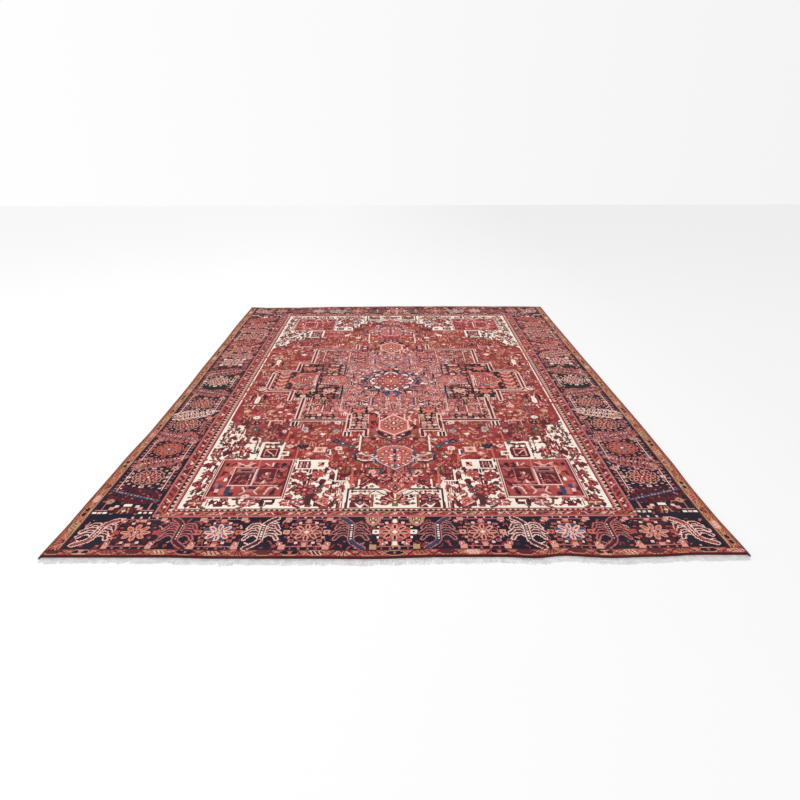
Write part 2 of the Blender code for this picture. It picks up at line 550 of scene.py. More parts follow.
def leaf_spray(pen, outline, inner, stem, seeds, lean=1):
    """The slanting leaf of the side borders: a long stem with curled lobes on both sides."""
    start, end = np.array([-134.0, lean * 46.0]), np.array([134.0, -lean * 46.0])
    along = (end - start) / np.linalg.norm(end - start)
    across = np.array([-along[1], along[0]])

    def spot(s, t):
        return tuple(start + along * s + across * t)

    for s in range(34, 290, 32):
        for side in (-1, 1):
            reach = 60 if 60 < s < 250 else 42
            hook = [(s, 0), (s - 4, side * reach * 0.6), (s - 20, side * reach), (s - 34, side * reach * 0.8)]
            hook = [spot(*p) for p in hook]
            pen.line(hook, outline, 17)
            pen.line(hook[:3], inner, 6)
    pen.line([spot(-4, 0), spot(287, 0)], outline, 22)
    pen.line([spot(-4, 0), spot(287, 0)], stem, 12)
    for i in range(15):
        pen.box(*spot(8 + i * 19, 0), 9, 8, seeds)


def speckle(pen, width, height, seed, count, dyes, wide=8, reach=22):
    """Short strokes in several dyes: the small filling round the drawn figures."""
    draw = random.Random(seed)
    for _ in range(count):
        x, y = draw.uniform(-width / 2, width / 2), draw.uniform(-height / 2, height / 2)
        lean, rise = draw.uniform(-0.7, 0.7) * reach, draw.uniform(0.4, 1) * reach
        pen.line([(x, y), (x + lean, y + rise)], draw.choice(dyes), wide)


# ---- the borders ---------------------------------------------------------------------------------

# Along the side borders, front to back: place, figure, and the dyes that it takes.
# A rosette: ground, outline, petals, heart, blocks. A spray: outline, inner, stem, seeds.
SIDE_FIGURES = (
    (-1540, -1540, "spray", ("claret", "navy", "blue", "grey")),
    (-1368, -1375, "rosette", ("claret", "navy", "salmon", "brick", "pink")),
    (-1200, -1215, "spray", ("rose", "claret", "claret", "pink")),
    (-1065, -1062, "rosette", ("rust", "navy", "coral", "blue", "rust")),
    (-905, -905, "spray", ("rose", "claret", "navy", "pink")),
    (-750, -755, "rosette", ("claret", "black", "salmon", "brick", "rose")),
    (-598, -590, "spray", ("pink", "claret", "claret", "ivory")),
    (-440, -425, "rosette", ("claret", "plum", "salmon", "rust", "pink")),
    (-245, -240, "spray", ("rose", "black", "plum", "pink")),
    (-45, -35, "rosette", ("brick", "black", "pink", "black", "ivory")),
    (135, 140, "spray", ("rose", "black", "claret", "pink")),
    (355, 368, "rosette", ("brick", "plum", "pink", "claret", "rose")),
    (520, 540, "spray", ("salmon", "claret", "black", "pink")),
    (662, 715, "rosette", ("brick", "black", "salmon", "blue", "coral")),
    (845, 880, "spray", ("coral", "black", "claret", "pink")),
    (1000, 1040, "rosette", ("brick", "black", "salmon", "blue", "tan")),
    (1180, 1210, "spray", ("salmon", "black", "claret", "coral")),
    (1335, 1365, "rosette", ("brick", "black", "salmon", "claret", "coral")),
    (1530, 1540, "spray", ("coral", "claret", "black", "salmon")),
)

# Half of an end border, from the middle outwards. The other half mirrors it.
END_FIGURES = (
    (0, "rosette", ("coral", "brick", "salmon", "navy", "ivory", "ivory")),
    (195, "tree", ("rose", "navy", "blue", "ivory", -1)),
    (395, "rosette", ("rose", "claret", "salmon", "claret", "pink", "salmon")),
    (595, "tree", ("pink", "claret", "plum", "ivory", 1)),
    (790, "rosette", ("rust", "blue", "pink", "brick", "rust", "coral")),
    (970, "tree", ("rose", "claret", "plum", "ivory", -1)),
    (1163, "rosette", ("claret", "navy", "salmon", "rust", "rose", "brick")),
    (1340, "corner", ("pink", "claret", "brick", "ivory", 1)),
)


def draw_outer_guard(pen):
    """Slanting leaves on tan, in lozenges, with pairs of dark spots here and there."""
    pen.box(0, 0, 2990, 4010, "tan")
    pen.box(0, 0, 2990, 3980, "rust")
    for sign_y in (-1, 1):
        pen.box(0, sign_y * 1977, 2980, 40, "brick")
        for i in range(-13, 14):
            unit = pen.at(112 * i, sign_y * 1977, flip_y=sign_y)
            guard_unit(unit, i, 112)
        pen.box(0, sign_y * 1998, 2990, 6, "claret")
        pen.box(0, sign_y * 1957, 2880, 6, "plum")
    for sign_x in (-1, 1):
        for i in range(-17, 18):
            unit = pen.at(sign_x * 1464, 112 * i, turn=90, flip_y=-sign_x)
            guard_unit(unit, i + sign_x, 112, quiet=True)
        pen.line([(sign_x * 1443, -1960), (sign_x * 1443, 1960)], "tan", 5)
        pen.line([(sign_x * 1437, -1960), (sign_x * 1437, 1960)], "plum", 7)


def guard_unit(pen, i, length, quiet=False):
    """One lens of the guard: thin outlines that cross at its points, and a striped leaf inside."""
    fills = ("salmon", "rust", "coral", "tan", "rust") if quiet else ("claret", "rust", "claret", "salmon", "brick")
    half = length / 2
    thread = "tan" if quiet or i % 3 == 0 else "plum"
    for bow, dye in ((22, "claret"), (-22, "claret"), (15, "tan"), (-15, thread)):
        pen.line([(-half, -bow * 0.7), (-half * 0.4, bow), (half * 0.4, bow), (half, -bow * 0.7)], dye, 5)
    leaf = [(-half * 0.7, 0), (-half * 0.3, 12), (half * 0.4, 12), (half * 0.7, 0), (half * 0.3, -12), (-half * 0.4, -12)]
    pen.fill(leaf, fills[i % 5])
    if i % 4 == 0:
        for x in (-20, 20):
            pen.oval(x, 0, 30, 21, "navy")
        pen.oval(0, 0, 11, 11, "coral")
    elif i % 4 == 2:
        for x in (-24, -8, 8, 24):
            pen.line([(x, 14), (x * 0.3, -14)], "claret", 5)
    else:
        for x in (-24, -6, 12):
            pen.line([(x, -9), (x + 12, 10)], "claret" if i % 3 else "pink", 5)


def border_ground(pen):
    """The ground of the main border changes with the dye lots, from navy in front to plum behind."""
    draw = random.Random(4)
    y = -1956.0
    while y < 1956:
        depth = draw.uniform(14, 40)
        if y < -1150:
            dyes = ("navy",)
        elif y < -480:
            dyes = ("navy", "navy", "plum", "black")
        elif abs(y) < 230:
            dyes = ("black",)
        else:
            dyes = ("plum", "navy", "black") if y < 700 else ("plum", "black", "claret")
        pen.box(0, y + depth / 2, 2868, depth, draw.choice(dyes))
        y += depth


def fill_border(pen, width, length, seed, pitch, dyes):
    """Small filling figures tied between the large ones, in wandering rows."""
    draw = random.Random(seed)
    for row in range(round(length / pitch)):
        for column in range(round(width / pitch)):
            x = (column + draw.uniform(0.1, 0.9)) * pitch - width / 2
            y = (row + draw.uniform(0.1, 0.9)) * pitch - length / 2
            kind, dye, turn = draw.randrange(5), draw.choice(dyes), draw.choice((-1, 1))
            if kind == 0:
                pen.box(x, y, 13, 12, dye)
            elif kind == 1:
                pen.oval(x, y, 20, 18, dye)
                pen.box(x, y, 6, 6, "claret")
            elif kind == 2:
                pen.line([(x - 14, y - turn * 8), (x, y), (x + 4, y + turn * 13)], dye, 6)
            elif kind == 3:
                pen.line([(x - 12, y - 8), (x - 8, y + 8), (x + 6, y + 8), (x + 8, y - 4)], dye, 6)
            else:
                pen.line([(x, y - 12), (x + turn * 9, y + 10)], dye, 9)


def end_border(pen, back=False):
    """One end border, drawn as the front one: y up is towards the field."""
    soft = "plum" if back else "navy"
    fill_border(pen, 2830, 220, 5 + back, 34, ("brick", "claret", "brick", "madder", "plum", "salmon"))
    for x, kind, dyes in END_FIGURES:
        for side in (-1, 1) if x else (1,):
            figure = pen.at(side * x, 0, flip_x=side)
            if kind == "rosette":
                frame, ground, petals, rays, heart, block = dyes
                figure.box(0, 0, 168, 150, soft)
                end_rosette(figure, frame, ground, petals, rays, heart, block)
                bar, knob = ("rose", "salmon") if x else ("rose", "tan")
                bracket_bar(figure.at(0, 98), 190, bar, knob, "pink")
                bracket_bar(figure.at(0, -98, flip_y=-1), 190, bar, knob, "rose")
            elif kind == "tree":
                figure.box(0, 0, 130, 120, soft)
                leaf_tree(figure, *dyes)
            else:
                figure.box(0, 0, 120, 180, soft)
                leaf_tree(figure.at(-4, 4, turn=8, size=0.92), *dyes, wide=1.2)
    for side in (-1, 1):
        tulip_head(pen.at(side * 100, 82, flip_x=side), "tan", "rose", "claret")
        for x in (48, 290, 500, 690, 880, 1060, 1255):
            floret(pen.at(side * (x + 4), -78), "rose", "ivory", "salmon", size=14)
            if x > 100:
                floret(pen.at(side * (x - 10), 84), "rose", "ivory", size=13)
        for x, dye in ((85, "ivory"), (487, "salmon"), (305, "salmon"), (700, "coral"), (880, "coral")):
            checked_square(pen.at(side * x, 0), 29, dye, "ivory" if x == 85 else dye, "navy")
        for x in (1070, 1250):
            pen.box(side * x, 0, 28, 30, "brick")
    pen.oval(0, 80, 24, 28, "ivory")
    pen.oval(0, -76, 24, 28, "ivory")


def tulip_head(pen, body, outline, veins):
    """A hanging bud, wide at the top, with veins."""
    cup = [(-36, 34), (36, 34), (34, 0), (16, -28), (0, -38), (-16, -28), (-34, 0)]
    pen.fill(cup, body)
    pen.line(cup, outline, 5, closed=True)
    for x in (-20, -7, 7, 20):
        pen.line([(x, 28), (x * 0.5, -16)], veins, 5)
    for x, y in ((-14, 8), (14, 8), (0, 22), (0, -10)):
        pen.box(x, y, 6, 8, "ivory")



def draw_main_border(pen):
    border_ground(pen)
    sides = ("rose", "claret", "brick", "coral", "brick", "claret")
    for side in (-1, 1):
        lane = pen.at(side * 1287, 0, flip_x=side)
        fill_border(lane, 286, 3400, 21 + side, 31, sides if side < 0 else (*sides, "pink", "grey", "salmon"))
        behind = lane.at(0, 1080, size=2.2)
        fill_border(behind, 130, 510, 24 + side, 26, ("salmon", "black", "coral", "pink", "brick", "black"))
        for i, (left, right, kind, dyes) in enumerate(SIDE_FIGURES):
            y = left if side < 0 else right
            figure = pen.at(side * 1287, y, flip_x=-side)
            soft = "navy" if y < -480 else "black" if abs(y) < 240 else "plum"
            if kind == "rosette":
                figure.oval(0, 0, 262, 320 if abs(y) < 240 else 218, soft)
                side_rosette(figure, *dyes, bold=y > 240)
                ladder(figure, dyes[4] if i % 3 else "pink", "rose")
            else:
                if y > 240:
                    figure.box(0, 0, 284, 100, soft)
                leaf_spray(figure, *dyes, lean=1 if i % 4 in (0, 1) else -1)
            small = figure.at(-100 if kind == "spray" else 112, -52 if kind == "spray" else 88)
            floret(small, "salmon" if i % 2 else "tan", "claret", "rose", size=20)
        for end in (-1, 1):
            half = pen.at(side * 1287, end * 1668, flip_y=-end)
            half_rosette(half, "salmon" if end < 0 else "rose")
    border_mitres(pen)
    end_border(pen.at(0, -1841))
    end_border(pen.at(0, 1841, flip_y=-1), back=True)
    pen.frame(0, 0, 2866, 3914, "plum", 6)


def border_mitres(pen):
    for x in (-1, 1):
        for y in (-1, 1):
            pen.box(x * 1290, y * 1841, 280, 225, "navy" if y < 0 else "plum")
            speckle(pen.at(x * 1290, y * 1841 - 8), 250, 180, 23, 44, ("claret", "rose", "madder", "coral"), 13, 17)


def half_rosette(pen, petals):
    """The half rosette where a side border meets an end border. It opens towards the side."""
    pen.box(0, 16, 280, 74, "navy")
    for side in (-1, 1):
        for x in (84, 110, 134):
            pen.box(side * x, -20, 17, 13, "ivory" if x != 110 else "pink")
        pen.box(side * 110, 0, 60, 8, "salmon")
        pen.line([(side * 112, 8), (side * 112, 60)], "rose", 8)
        pen.box(side * 68, 14, 24, 26, petals)
        pen.box(side * 50, 34, 22, 22, "pink")
        pen.line([(side * 60, -6), (side * 34, 30)], "claret", 8)
    pen.fill([(-50, -24), (50, -24), (36, 22), (0, 34), (-36, 22)], "claret")
    pen.box(0, 44, 38, 18, "ivory")
    for x in (-24, 0, 24):
        pen.line([(x, -20), (x * 0.6, 20)], "tan", 6)
    pen.oval(0, -4, 18, 18, "pink")


def draw_inner_guard(pen):
    pen.frame(0, 0, 2262, 3438, "rose", 8)
    pen.box(0, 0, 2254, 3430, "brick")
    for i in range(-27, 28):
        for side in (-1, 1):
            dye = ("salmon", "madder", "claret", "rose", "tan")[i % 5]
            stripe = pen.at(41 * i, side * 1695, flip_y=side)
            stripe.line([(-20, 12), (20, -12)], dye, 9)
            stripe.line([(-4, 12), (30, -10)], "claret" if i % 3 else "pink", 6)
            stripe.line([(-26, 4), (-8, -12)], "plum" if i % 2 else "claret", 7)
            stripe.line([(4, 12), (-10, -12)], "pink" if i % 3 == 1 else "olive", 5)
            if i % 4 == 0:
                stripe.oval(0, 0, 16, 12, "pink")
    for i in range(-41, 42):
        for side in (-1, 1):
            dye = ("madder", "rose", "claret", "rust", "madder", "brick")[(i // 2) % 6]
            stripe = pen.at(side * 1105, 41 * i, flip_x=side)
            stripe.line([(-18, -20), (18, 18)], dye, 12)
            stripe.line([(-18, -4), (14, 30)], "claret" if i % 3 else "pink", 6)
            stripe.line([(16, -16), (-14, 10)], "pink" if i % 4 == 1 else "claret", 5)
            stripe.line([(-4, -18), (18, 2)], "plum", 7)
            stripe.line([(-20, 8), (-8, 20)], "claret", 7)
            if i % 5 == 0:
                stripe.oval(0, 0, 14, 18, "pink")
    pen.frame(0, 0, 2174, 3364, "coral", 6)
    pen.box(0, 0, 2166, 3358, "black")
    for side in (-1, 1):
        for i in range(-49, 50):
            y = 34 * i
            pen.fill([(side * 1055, y - 17), (side * 1055, y + 17), (side * 1079, y + 3)], "pink")
            pen.fill([(side * 1050, y - 9), (side * 1050, y + 9), (side * 1068, y + 2)], "brick")
        for i in range(-41, 42):
            x = 26 * i
            pen.fill([(x - 13, side * 1661), (x + 13, side * 1661), (x, side * 1676)], "pink")
    pen.frame(0, 0, 2106, 3326, "rose", 6)
    pen.box(0, 0, 2098, 3320, "brick")
    pen.frame(0, 0, 2088, 3312, "claret", 5)
    pen.box(0, 0, 2078, 3306, "ivory")
    pen.box(0, 0, 2064, 3296, "madder")


# ---- the field -----------------------------------------------------------------------------------


def both(pen, figure, x, y, *dyes, **settings):
    """A figure and its mirror image on the other side."""
    for side in (-1, 1):
        figure(pen.at(side * x, y, flip_x=side), *dyes, **settings)


def both_lines(pen, points, dye, width=5.0):
    for side in (-1, 1):
        pen.at(0, 0, flip_x=side).line(points, dye, width)


def both_fills(pen, points, dye):
    for side in (-1, 1):
        pen.at(0, 0, flip_x=side).fill(points, dye)


def double_line(pen, points, light="pink", dark="claret", gap=13.0):
    """Two light lines with a dark one between, turning together."""
    both_lines(pen, points, light, 2 * gap + 9)
    both_lines(pen, points, dark, 2 * gap - 10)


def vine_field(pen, low_x, high_x, low_y, high_y, seed, pitch, dyes, stalks):
    """Small flowers and leaves on stalks that fill a ground, mirrored about the middle."""
    draw = random.Random(seed)
    y = low_y
    while y < high_y:
        x = low_x + draw.uniform(0, pitch / 2)
        while x < high_x:
            here = (x + draw.uniform(-0.3, 0.3) * pitch, y + draw.uniform(-0.3, 0.3) * pitch)
            kind, dye, stalk = draw.randrange(9), draw.choice(dyes), draw.choice(stalks)
            bend, tall = draw.choice((-1, 1)), draw.uniform(0.7, 1.4)
            both(pen, small_figure, *here, kind, dye, stalk, bend, tall)
            x += pitch * draw.uniform(0.75, 1.2)
        y += pitch * 0.85


def small_figure(pen, kind, dye, stalk, bend, tall):
    """One of the little figures between the large ones, with a darker edge on one side."""
    if kind == 0:
        pen.oval(2, -2, 38, 36, stalk)
        floret(pen, dye, "ivory" if dye != "ivory" else "claret", size=14)
    elif kind == 1:
        pen.line([(0, -22 * tall), (0, 20 * tall)], stalk, 7)
        pen.line([(-13, 5), (0, -7), (13, 5)], dye, 7)
        pen.box(0, 18 * tall, 8, 8, dye)
    elif kind == 2:
        pen.line([(-12 * bend, -18), (8 * bend, -6), (10 * bend, 16 * tall)], stalk, 8)
        pen.line([(-16 * bend, -14), (4 * bend, -2), (6 * bend, 18 * tall)], dye, 7)
    elif kind == 3:
        pen.fill([(-15, -16), (15, -16), (19, 5), (0, 21 * tall), (-19, 5)], stalk)
        pen.fill([(-10, -12), (10, -12), (14, 5), (0, 16 * tall), (-14, 5)], dye)
        pen.box(0, -2, 7, 10, stalk)
    elif kind == 4:
        for x in (-15, 3):
            pen.line([(x, -20 * tall), (x, 14 * tall)], dye, 6)
            pen.line([(x + 8, -14 * tall), (x + 8, 20 * tall)], stalk, 6)
    elif kind == 5:
        pen.oval(0, 0, 25, 32 * tall, stalk)
        pen.oval(0, 0, 16, 23 * tall, dye)
        pen.box(0, 0, 6, 8, stalk)
    elif kind == 6:
        pen.fill([(0, -22 * tall), (13, 0), (0, 22 * tall), (-13, 0)], stalk)
        pen.fill([(0, -14 * tall), (8, 0), (0, 14 * tall), (-8, 0)], dye)
    elif kind == 7:
        pen.line([(-16, 10), (-16, -10), (12, -10), (12, 12), (-4, 12)], dye, 6)
        pen.box(-2, 1, 10, 9, stalk)
    else:
        pen.line([(-15 * bend, -14 * tall), (15 * bend, 14 * tall)], dye, 7)
        pen.line([(-15 * bend, -4 * tall), (8 * bend, 18 * tall)], stalk, 5)


def flower_bed(pen, low_x, high_x, low_y, high_y, ground, seed, pitch=42):
    """A dark panel set with flowers in rows, on both sides of the rug."""
    both_fills(pen, [(low_x, low_y), (high_x, low_y), (high_x, high_y), (low_x, high_y)], ground)
    draw = random.Random(seed)
    columns = max(1, round((high_x - low_x) / pitch))
    rows = max(1, round((high_y - low_y) / pitch))
    for row in range(rows):
        for column in range(columns):
            x = low_x + (column + draw.uniform(0.35, 0.65)) * (high_x - low_x) / columns
            y = low_y + (row + draw.uniform(0.35, 0.65)) * (high_y - low_y) / rows
            dye = draw.choice(("coral", "salmon", "pink", "rose", "brick", "salmon"))
            if draw.random() < 0.6:
                both(pen, floret, x, y, dye, draw.choice(("claret", "ivory", "plum")), size=pitch * 0.42)
            else:
                both(pen, small_figure, x, y, draw.randrange(1, 9), dye, "claret", 1, 1.0)


def star_spot(pen, light, dark):
    pen.box(0, 0, 26, 8, light)
    pen.box(0, 0, 8, 26, light)
    pen.box(0, 0, 14, 14, light)
    for x, y in ((-13, -13), (13, -13), (-13, 13), (13, 13)):
        pen.box(x, y, 7, 7, dark)


def bar_spot(pen, light, dark, height=60):
    pen.box(0, 0, 20, height, light)
    pen.box(2, 0, 9, height - 8, dark)


def flower_pot(pen, body, petals, dark):
    """A full flower over a narrow foot, in a dark frame."""
    pen.box(0, 0, 96, 92, dark)
    for x, y in ((-27, 16), (27, 16), (0, 25), (-20, -8), (20, -8)):
        pen.oval(x, y, 36, 36, body)
    pen.box(0, -30, 26, 26, body)
    for side in (-1, 1):
        pen.line([(side * 34, 26), (side * 8, -18)], petals, 6)
        pen.line([(side * 18, 34), (side * 4, 4)], "claret", 5)
        pen.box(side * 34, -30, 16, 13, petals)
    pen.oval(0, -2, 17, 20, petals)
    pen.oval(0, -2, 8, 9, "claret")


def finial(pen):
    """The shield-shaped pendant beyond the medallion, on the line of the rug's middle."""
    shield = mirrored([(0, 138), (58, 126), (100, 84), (112, 20), (100, -32), (72, -70), (0, -134)])
    pen.fill(shield, "coral")
    looped_ring(pen, 76, 90, 14, "claret", "pink", (28, 40))
    looped_ring(pen, 52, 60, 12, "brick", "salmon", (22, 34))
    looped_ring(pen, 28, 34, 8, "rose", "ivory", (23, 30))
    for side in (-1, 1):
        pen.line([(side * 14, 112), (side * 44, 60), (side * 30, -84)], "brick", 6)
    pen.line([(0, 118), (0, -116)], "plum", 6)
    for y, dye in ((104, "sky"), (56, "navy"), (10, "blue"), (-34, "navy"), (-76, "sky")):
        pen.oval(0, y, 20, 22, dye)
    pen.line(shield, "pink", 9, closed=True)
    pen.line([(x * 1.05, y * 1.04) for x, y in shield], "blue", 7, closed=True)
    for side in (-1, 1):
        arm = pen.at(side * 115, 0, flip_x=side)
        arm.line([(-8, 62), (-8, -60)], "blue", 13)
        arm.line([(6, 30), (46, 22), (84, 50)], "pink", 9)
        arm.line([(12, -30), (60, -36), (90, -14)], "ivory", 8)
        arm.box(44, -6, 50, 38, "rose")
        arm.box(44, -4, 26, 20, "claret")
        arm.line([(92, 80), (106, 40), (102, -24), (60, -50), (8, -50)], "navy", 9)
        arm.line([(98, 74), (114, 40), (110, -24)], "blue", 6)
        arm.line([(-16, 18), (16, -18)], "ivory", 8)
        arm.line([(-16, -18), (16, 18)], "ivory", 8)
        arm.box(0, 0, 14, 14, "grey")


def ivory_corner(pen, back=False):
    """A corner of the field: an ivory ground with a red square, a stepped panel and their figures.
    Drawn for the right-hand front corner, x outwards and y towards the front."""
    edge, end = 1032, 1648
    ground, dark = ("brick", "madder") if back else ("brick", "claret")
    # The ivory grounds.
    outline = [
        (edge, -690), (edge - 60, -760), (905, -775), (900, -900), (790, -930), (780, -980), (640, -985),
        (640, -1190), (548, -1190), (548, -1188), (362, -1190), (362, -1270), (310, -1300), (310, -1400),
        (262, -1420), (232, -1440), (232, -end), (edge, -end),
    ]  # fmt: skip
    pen.fill(outline, "ivory")
    vine_side(pen, 640, edge - 12, -1640, -700, 31 + back, 38)
    vine_side(pen, 640, 780, -1180, -990, 33 + back, 46)
    vine_side(pen, 250, 560, -1640, -1200, 41 + back, 38)
    # The square, in a double frame.
    pen.box(748, -1372, 392, 376, "rose")
    pen.box(748, -1372, 372, 352, ground)
    dyes = (dark, dark, dark, "rose", "salmon", "madder", "plum")
    speckle(pen.at(748, -1392), 340, 300, 13, 130, dyes, 15, 34)
    pen.frame(748, -1372, 388, 370, "pink", 7)
    pen.frame(748, -1372, 366, 348, "claret", 6)
    pen.box(793, -1360, 120, 172, dark)
    pen.frame(793, -1360, 120, 172, "pink", 6)
    pen.box(793, -1300, 96, 44, "rose")
    pen.box(793, -1298, 60, 20, "plum")
    pen.line([(738, -1328), (850, -1328)], "mauve", 6)
    pen.line([(842, -1440), (826, -1400), (806, -1430), (786, -1396), (764, -1436)], "brick", 9)
    pen.line([(756, -1340), (756, -1440)], "pink", 5)
    pen.box(677, -1352, 98, 136, dark)
    pen.frame(677, -1352, 98, 136, "rose", 6)
    for x in (793, 677):
        speckle(pen.at(x, -1384), 84, 100, x, 18, ("brick", "rose", "navy"), 9, 20)
    for y in (-1335, -1418):
        pen.fill([(677, y - 18), (686, y), (677, y + 18), (668, y)], "pink")
    pen.line([(735, -1190), (735, -1272)], "coral", 9)
    pen.line([(735, -1290), (735, -1450)], "pink", 7)
    pen.line([(600, -1452), (860, -1452)], "pink", 5)
    for x, y, w, h, dye in (
        (890, -1462, 26, 34, "blue"), (840, -1510, 18, 66, "blue"), (870, -1505, 26, 60, "coral"),
        (898, -1500, 20, 30, "pink"), (820, -1530, 26, 26, "plum"), (640, -1240, 10, 44, "navy"),
        (660, -1240, 9, 44, "pink"), (600, -1240, 22, 34, "navy"), (905, -1240, 22, 26, "navy"),
        (880, -1290, 18, 50, "coral"), (900, -1380, 22, 40, "coral"), (880, -1395, 14, 30, "ivory"),
    ):  # fmt: skip
        pen.box(x, y, w, h, dye)
    pen.line([(770, -1470), (752, -1506), (772, -1530)], "pink", 8)
    pen.line([(690, -1470), (708, -1506), (688, -1530)], "pink", 8)
    pen.box(730, -1500, 40, 26, "rose")
    pen.line([(650, -1530), (640, -1476), (604, -1462), (588, -1484)], "pink", 9)
    pen.line([(622, -1524), (606, -1486)], "navy", 12)
    floret(pen.at(740, -1553), "pink", "claret", size=20)
    pen.line([(840, -1230), (800, -1256), (760, -1226)], "pink", 8)
    pen.line([(700, -1226), (676, -1250)], "pink", 7)
    # The strip below the square.
    for x, dye in ((970, "rust"), (520, "coral"), (712, "rose")):
        blossom(pen.at(x, -1607), 78, 60, dye, "claret", "salmon")
    for x in (870, 830, 648):
        pen.oval(x, -1606, 26, 44, "claret")
        pen.oval(x, -1606, 10, 20, "ivory")
    for x in (912, 898):
        pen.line([(x, -1585), (x, -1632)], "claret", 6)
    pen.line([(650, -1636), (650, -1580), (592, -1580), (592, -1606)], "navy", 13)
    pen.box(610, -1612, 40, 26, "claret")
    pen.oval(775, -1632, 18, 16, "brick")
    pen.line([(560, -1570), (936, -1566)], "rose", 8)
    pen.line([(560, -1560), (936, -1556)], "pink", 5)
    for x in (552, 944):
        pen.line([(x, -1185), (x, -1566)], "pink", 15)
        pen.line([(x, -1185), (x, -1566)], "claret", 5)
    # The strip outside the square.
    for i, y in enumerate(range(-1625, -700, 33)):
        pen.oval(1012, y, 16, 13, "claret" if i % 3 else "navy")
        if i % 2 and y < -1100:
            pen.oval(966, y - 6, 13, 12, "claret")
    for y in (-1480, -1235, -1345):
        pen.line([(992, y - 46), (992, y + 40)], "claret", 8)
        pen.fill([(968, y - 12), (992, y + 38), (1016, y - 12), (1000, y - 4), (984, y - 4)], "brick")
        pen.line([(966, y - 18), (992, y + 8), (1018, y - 18)], "claret", 6)
    # Above the square.
    pen.frame(700, -1085, 118, 184, "ivory", 16)
    pen.box(700, -1112, 92, 112, "claret")
    pen.frame(700, -1108, 64, 76, "salmon", 7)
    pen.line([(676, -1140), (724, -1084)], "pink", 7)
    pen.box(690, -1140, 12, 30, "navy")
    pen.line([(664, -1010), (740, -1022)], "claret", 9)
    pen.box(655, -1000, 22, 26, "teal")
    for x, y in ((840, -1130), (925, -1060), (880, -950), (985, -960), (990, -860)):
        both_dyes = ("claret", "brick") if (x + y) % 20 else ("brick", "plum")
        tulip(pen.at(x, y, flip_y=-1), both_dyes[1], both_dyes[0], "ivory", size=1.1)
    pen.line([(820, -1150), (845, -1172), (880, -1160)], "claret", 11)
    pen.line([(905, -990), (935, -1010), (930, -1070)], "claret", 8)
    pen.line([(800, -1040), (790, -1120)], "teal", 9)
    for x, y in ((870, -1020), (1000, -1000), (955, -830), (1000, -770)):
        pen.box(x, y, 17, 24, "teal")
    # The stepped panel beside the square.
    pen.box(452, -1240, 170, 96, "ivory")
    pen.box(492, -1244, 70, 74, "claret")
    for x in (474, 492, 510):
        pen.line([(x, -1216), (x, -1272)], "rose" if x == 492 else "pink", 7)
    pen.line([(462, -1244), (522, -1244)], "mauve", 7)
    pen.box(400, -1240, 34, 50, "salmon")
    pen.line([(384, -1222), (414, -1258)], "claret", 8)
    pen.box(392, -1232, 14, 22, "navy")
    for x, y, size, dyes in (
        (455, -1492, 1.0, ("claret", "coral", "brick")), (500, -1358, 0.72, ("claret", "brick", "rose")),
        (405, -1342, 0.66, ("brick", "coral", "claret")), (398, -1500, 0.6, ("claret", "rose", "teal")),
        (352, -1592, 0.62, ("brick", "salmon", "claret")), (318, -1500, 0.42, ("claret", "brick", "navy")),
    ):  # fmt: skip
        flower = pen.at(x, y, size=size)
        looped_ring(flower, 38, 38, 8, dyes[0], dyes[1], (36, 42))
        flower.oval(0, 0, 44, 44, dyes[0])
        flower.oval(0, 0, 30, 30, dyes[2])
        flower.box(0, 0, 14, 14, "pink")
    for x, y, w, h, dye in (
        (430, -1412, 24, 22, "rose"), (318, -1428, 17, 34, "navy"), (345, -1450, 22, 22, "brick"),
        (398, -1420, 20, 24, "rose"), (366, -1300, 16, 60, "claret"), (270, -1560, 13, 90, "salmon"),
        (372, -1466, 12, 30, "teal"),
    ):  # fmt: skip
        pen.box(x, y, w, h, dye)
    pen.fill([(436, -1375), (470, -1360), (436, -1345)], "navy")
    pen.fill([(376, -1452), (398, -1425), (366, -1425)], "navy")
    pen.line([(300, -1640), (300, -1580)], "claret", 6)
    pen.line([(314, -1640), (314, -1580)], "claret", 6)
    pen.fill([(330, -1640), (396, -1640), (396, -1596), (362, -1612)], "claret")
    pen.line([(340, -1634), (386, -1600)], "pink", 7)
    blossom(pen.at(476, -1600), 76, 58, "rose", "claret", "olive")
    pen.box(424, -1600, 24, 60, "plum")
    for x, y in ((300, -1470), (345, -1400), (455, -1560), (530, -1420), (530, -1560), (330, -1560), (286, -1600)):
        pen.oval(x, y, 14, 13, "claret")
    pen.line([(310, -1300), (310, -1410), (250, -1410), (234, -1452)], "ivory", 9)
    pen.fill([(300, -1330), (262, -1350), (286, -1380)], "claret")


def vine_side(pen, low_x, high_x, low_y, high_y, seed, pitch):
    """Small red and dark leaves that fill an ivory ground."""
    draw = random.Random(seed)
    for row in range(round((high_y - low_y) / pitch)):
        for column in range(round((high_x - low_x) / pitch)):
            x = low_x + (column + draw.uniform(0, 1)) * pitch
            y = low_y + (row + draw.uniform(0, 1)) * pitch
            dye = draw.choice(("claret", "claret", "brick", "brick", "coral", "plum", "olive", "rose"))
            figure = pen.at(x, y, size=draw.uniform(0.9, 1.5))
            small_figure(figure, draw.randrange(1, 7), dye, "claret", draw.choice((-1, 1)), 1.0)


